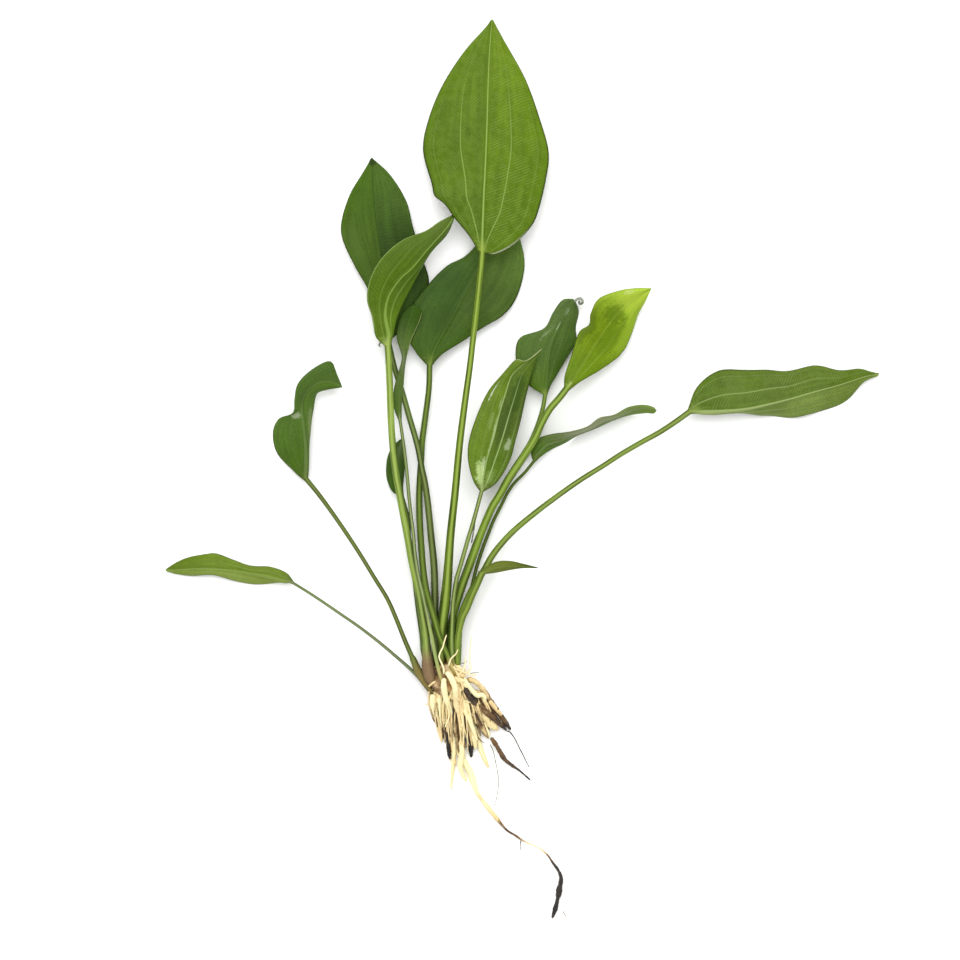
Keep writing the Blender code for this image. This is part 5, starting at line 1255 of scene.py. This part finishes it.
def crown_material(name, settings):
    """Crown skin: cream knobs on tan to the right, old mauve brown to the left."""
    made, w, shader = new_material(name)
    knob, slow, rightwards = w.parts("root")
    spread = w.add("ShaderNodeTexCoord").outputs["Object"]
    clouds = w.noise(420.0, 5.0, spread)
    specks = w.math("SUBTRACT", w.noise(2600.0, 3.0, spread), 0.5)
    height = w.math("ADD", w.math("MULTIPLY", knob, 0.6), clouds)
    height = w.math("ADD", height, w.math("MULTIPLY", specks, 0.3))
    young = ((0.34, (*settings.brown, 1)), (0.48, paint((190, 140, 84))),
             (0.64, paint((222, 184, 124))), (0.85, (*settings.cream, 1)))
    old = ((0.36, paint((64, 48, 28))), (0.56, paint((124, 98, 60))),
           (0.90, paint((186, 156, 118))))
    colour = w.mix(w.span(rightwards, -0.15, 0.35), w.ramp(height, old), w.ramp(height, young))
    w.put(shader.inputs["Base Color"], colour)
    w.put(shader.inputs["Roughness"], 0.6)
    w.put(shader.inputs["Specular IOR Level"], 0.3)
    bump = w.add("ShaderNodeBump", {"Strength": 0.7, "Distance": 0.0003, "Height": height})
    w.put(shader.inputs["Normal"], bump.outputs["Normal"])
    return made


def floor_material(settings):
    """A matt pale surface with a faint grain."""
    made, w, shader = new_material("pale_surface")
    mottle = w.add("ShaderNodeGroup", node_tree=mottle_group())
    w.put(mottle.inputs["Cloud Scale"], 3.0)
    w.put(mottle.inputs["Cloud Depth"], 0.01)
    w.put(mottle.inputs["Grain Depth"], 0.01)
    tint = w.mix(1.0, (*settings.floor_colour, 1), mottle.outputs["Value"], "MULTIPLY")
    w.put(shader.inputs["Base Color"], tint)
    w.put(shader.inputs["Roughness"], 0.9)
    w.put(shader.inputs["Specular IOR Level"], 0.1)
    return made


FINE_SLOTS = {"rootlets": "root_cream", "root_stubs": "root_tan", "hair_roots": "root_brown",
              "grey_wisps": "root_brown", "withered_curl": "leaf_dark", "pale_strand": "leaf_dark"}
WITHERED = ("grey_wisps", "withered_curl", "pale_strand")
ROOT_FINISHES = {"root_cream": (0.45, 0.16), "root_tan": (0.55, 0.28),
                 "root_brown": (0.6, 0.3), "root_black": (0.5, 0.22)}
MIDDLE_LEAVES = ("leaf_tall", "leaf_upper_left", "leaf_curled", "leaf_broad", "leaf_folded",
                 "leaf_oval")
RIGHT_LEAVES = ("leaf_glossy", "leaf_dark_right", "leaf_lime", "leaf_edge_on",
                "leaf_long_right", "leaf_spear")
LEFT_LEAVES = ("leaf_s_shaped", "leaf_far_left")


def build_leaves(names):
    """The named leaves, each with its own material."""
    settings = bpy.context.scene.plant_leaves
    for name in names:
        look = LEAF_LOOKS[name]
        finish = leaf_material(name, look, settings)
        mesh = leaf_mesh(name + "_skin", LEAF_SHAPES[name], look, settings)
        add_piece(name + "_skin", mesh, finish, look["slot"], name)


def root_finish(slot, settings):
    """The root material of a slot, made once."""
    found = bpy.data.materials.get(slot + "_skin")
    return found or root_material(slot + "_skin", settings, *ROOT_FINISHES[slot])


class PLANT_OT_middle_leaves(bpy.types.Operator):
    """Build the leaves of the middle fan"""

    bl_idname = "plant.middle_leaves"
    bl_label = "Middle leaves"

    def execute(self, context):
        build_leaves(MIDDLE_LEAVES)
        return {"FINISHED"}


class PLANT_OT_right_leaves(bpy.types.Operator):
    """Build the leaves on the right"""

    bl_idname = "plant.right_leaves"
    bl_label = "Right leaves"

    def execute(self, context):
        build_leaves(RIGHT_LEAVES)
        return {"FINISHED"}


class PLANT_OT_left_leaves(bpy.types.Operator):
    """Build the leaves on the left"""

    bl_idname = "plant.left_leaves"
    bl_label = "Left leaves"

    def execute(self, context):
        build_leaves(LEFT_LEAVES)
        return {"FINISHED"}


class PLANT_OT_crown(bpy.types.Operator):
    """Build the lumpy crown"""

    bl_idname = "plant.crown"
    bl_label = "Crown"

    def execute(self, context):
        settings = context.scene.plant_roots
        radii = np.array(settings.crown_radii) / MM
        mesh = crown_mesh("crown_skin", CROWN_CENTRE, radii, 11)
        add_piece("crown_skin", mesh, crown_material("crown_skin", settings), "crown_skin",
                  "crown")
        return {"FINISHED"}


class PLANT_OT_roots(bpy.types.Operator):
    """Build the roots, living and dead"""

    bl_idname = "plant.roots"
    bl_label = "Roots"

    def execute(self, context):
        settings = context.scene.plant_roots
        for seed, (name, (slot, route, radii, tones)) in enumerate(ROOTS.items()):
            mesh = tube_mesh(name + "_skin", route, radii, tones, settings, seed)
            add_piece(name + "_skin", mesh, root_finish(slot, settings), slot, name)
        return {"FINISHED"}


class PLANT_OT_fine_roots(bpy.types.Operator):
    """Build the rootlets, hair roots and wisps"""

    bl_idname = "plant.fine_roots"
    bl_label = "Fine roots"

    def execute(self, context):
        settings = context.scene.plant_roots
        for group, strands in FINE_ROOTS.items():
            slot = FINE_SLOTS[group]
            for number, (route, start, end, first, last) in enumerate(strands):
                name = f"{group}_{number + 1}"
                mesh = tube_mesh(name, route, (start, end), (first, last), settings,
                                 100 + number, 0.6, 8)
                withered = group in WITHERED
                finish = withered_material() if withered else root_finish(slot, settings)
                add_piece(name, mesh, finish, slot)
        for name, mat in MATS.items():
            finish = root_finish(mat["slot"], settings)
            add_piece(name, mat_mesh(name, mat, settings), finish, mat["slot"])
        return {"FINISHED"}


class PLANT_OT_stage(bpy.types.Operator):
    """Set up the pale surface, the soft light and the camera"""

    bl_idname = "plant.stage"
    bl_label = "Stage"

    def execute(self, context):
        settings = context.scene.plant_stage
        half = settings.floor_size / 2
        mesh = bpy.data.meshes.new("pale_surface")
        corners = [(-half, -half, 0), (half, -half, 0), (half, half, 0), (-half, half, 0)]
        mesh.from_pydata(corners, [], [(0, 1, 2, 3)])
        mesh.materials.append(floor_material(settings))
        surface = bpy.data.objects.new("pale_surface", mesh)
        context.scene.collection.objects.link(surface)
        add_sun("key_light", settings.key_strength, settings.key_angle, (-34, -4))
        add_surroundings(settings)
        add_camera(settings)
        context.scene.view_settings.view_transform = "Standard"
        return {"FINISHED"}


def add_sun(name, strength, angle, lean):
    """A soft distant light; lean is how far it tips about x and about y, in degrees."""
    data = bpy.data.lights.new(name, "SUN")
    data.energy = strength
    data.angle = angle
    light = bpy.data.objects.new(name, data)
    light.rotation_euler = (math.radians(lean[0]), math.radians(lean[1]), 0)
    bpy.context.scene.collection.objects.link(light)


def add_surroundings(settings):
    """Pale surroundings that the camera sees as white and that light the plant softly."""
    world = bpy.context.scene.world or bpy.data.worlds.new("surroundings")
    bpy.context.scene.world = world
    world.use_nodes = True
    w = Wiring(world.node_tree)
    world.node_tree.nodes.clear()
    soft = w.add("ShaderNodeBackground", {"Color": (1, 1, 1, 1),
                                          "Strength": settings.fill_strength})
    plain = w.add("ShaderNodeBackground", {"Color": (1, 1, 1, 1), "Strength": 1.0})
    ray = w.add("ShaderNodeLightPath")
    choice = w.add("ShaderNodeMixShader", {0: ray.outputs["Is Camera Ray"],
                                           1: soft.outputs[0], 2: plain.outputs[0]})
    w.add("ShaderNodeOutputWorld", {"Surface": choice.outputs[0]})


def add_camera(settings):
    """A camera straight above the place that the photograph is centred on."""
    data = bpy.data.cameras.new("camera")
    data.lens = settings.lens
    data.dof.use_dof = False
    camera = bpy.data.objects.new("camera", data)
    distance = settings.frame_width * settings.lens / data.sensor_width
    camera.location = (-0.0141, -0.0037, distance)
    data.clip_end = 100.0
    bpy.context.scene.collection.objects.link(camera)
    bpy.context.scene.camera = camera


STEPS = (PLANT_OT_middle_leaves, PLANT_OT_right_leaves, PLANT_OT_left_leaves, PLANT_OT_crown,
         PLANT_OT_roots, PLANT_OT_fine_roots, PLANT_OT_stage)


class PLANT_PT_panel(bpy.types.Panel):
    """The plant's steps and settings in the sidebar"""

    bl_label = "Echinodorus plant"
    bl_idname = "PLANT_PT_panel"
    bl_space_type = "VIEW_3D"
    bl_region_type = "UI"
    bl_category = "Plant"

    def draw(self, context):
        column = self.layout.column()
        for step in STEPS:
            column.operator(step.bl_idname)
        for settings in (context.scene.plant_leaves, context.scene.plant_roots,
                         context.scene.plant_stage):
            box = self.layout.box()
            for title in settings.__annotations__:
                box.prop(settings, title)


CLASSES = (StageLook, LeafLook, RootLook, *STEPS, PLANT_PT_panel)


def register():
    for item in CLASSES:
        bpy.utils.register_class(item)
    bpy.types.Scene.plant_stage = bpy.props.PointerProperty(type=StageLook)
    bpy.types.Scene.plant_leaves = bpy.props.PointerProperty(type=LeafLook)
    bpy.types.Scene.plant_roots = bpy.props.PointerProperty(type=RootLook)


def unregister():
    del bpy.types.Scene.plant_roots
    del bpy.types.Scene.plant_leaves
    del bpy.types.Scene.plant_stage
    for item in reversed(CLASSES):
        bpy.utils.unregister_class(item)


def corners(box):
    """A box's two corners as plain lists."""
    return [list(corner) for corner in box]


def main():
    """Register and run every step in order."""
    register()
    bpy.ops.plant.middle_leaves()
    bpy.ops.plant.right_leaves()
    bpy.ops.plant.left_leaves()
    bpy.ops.plant.crown()
    bpy.ops.plant.roots()
    bpy.ops.plant.fine_roots()
    bpy.ops.plant.stage()


if __name__ == "__main__":
    main()
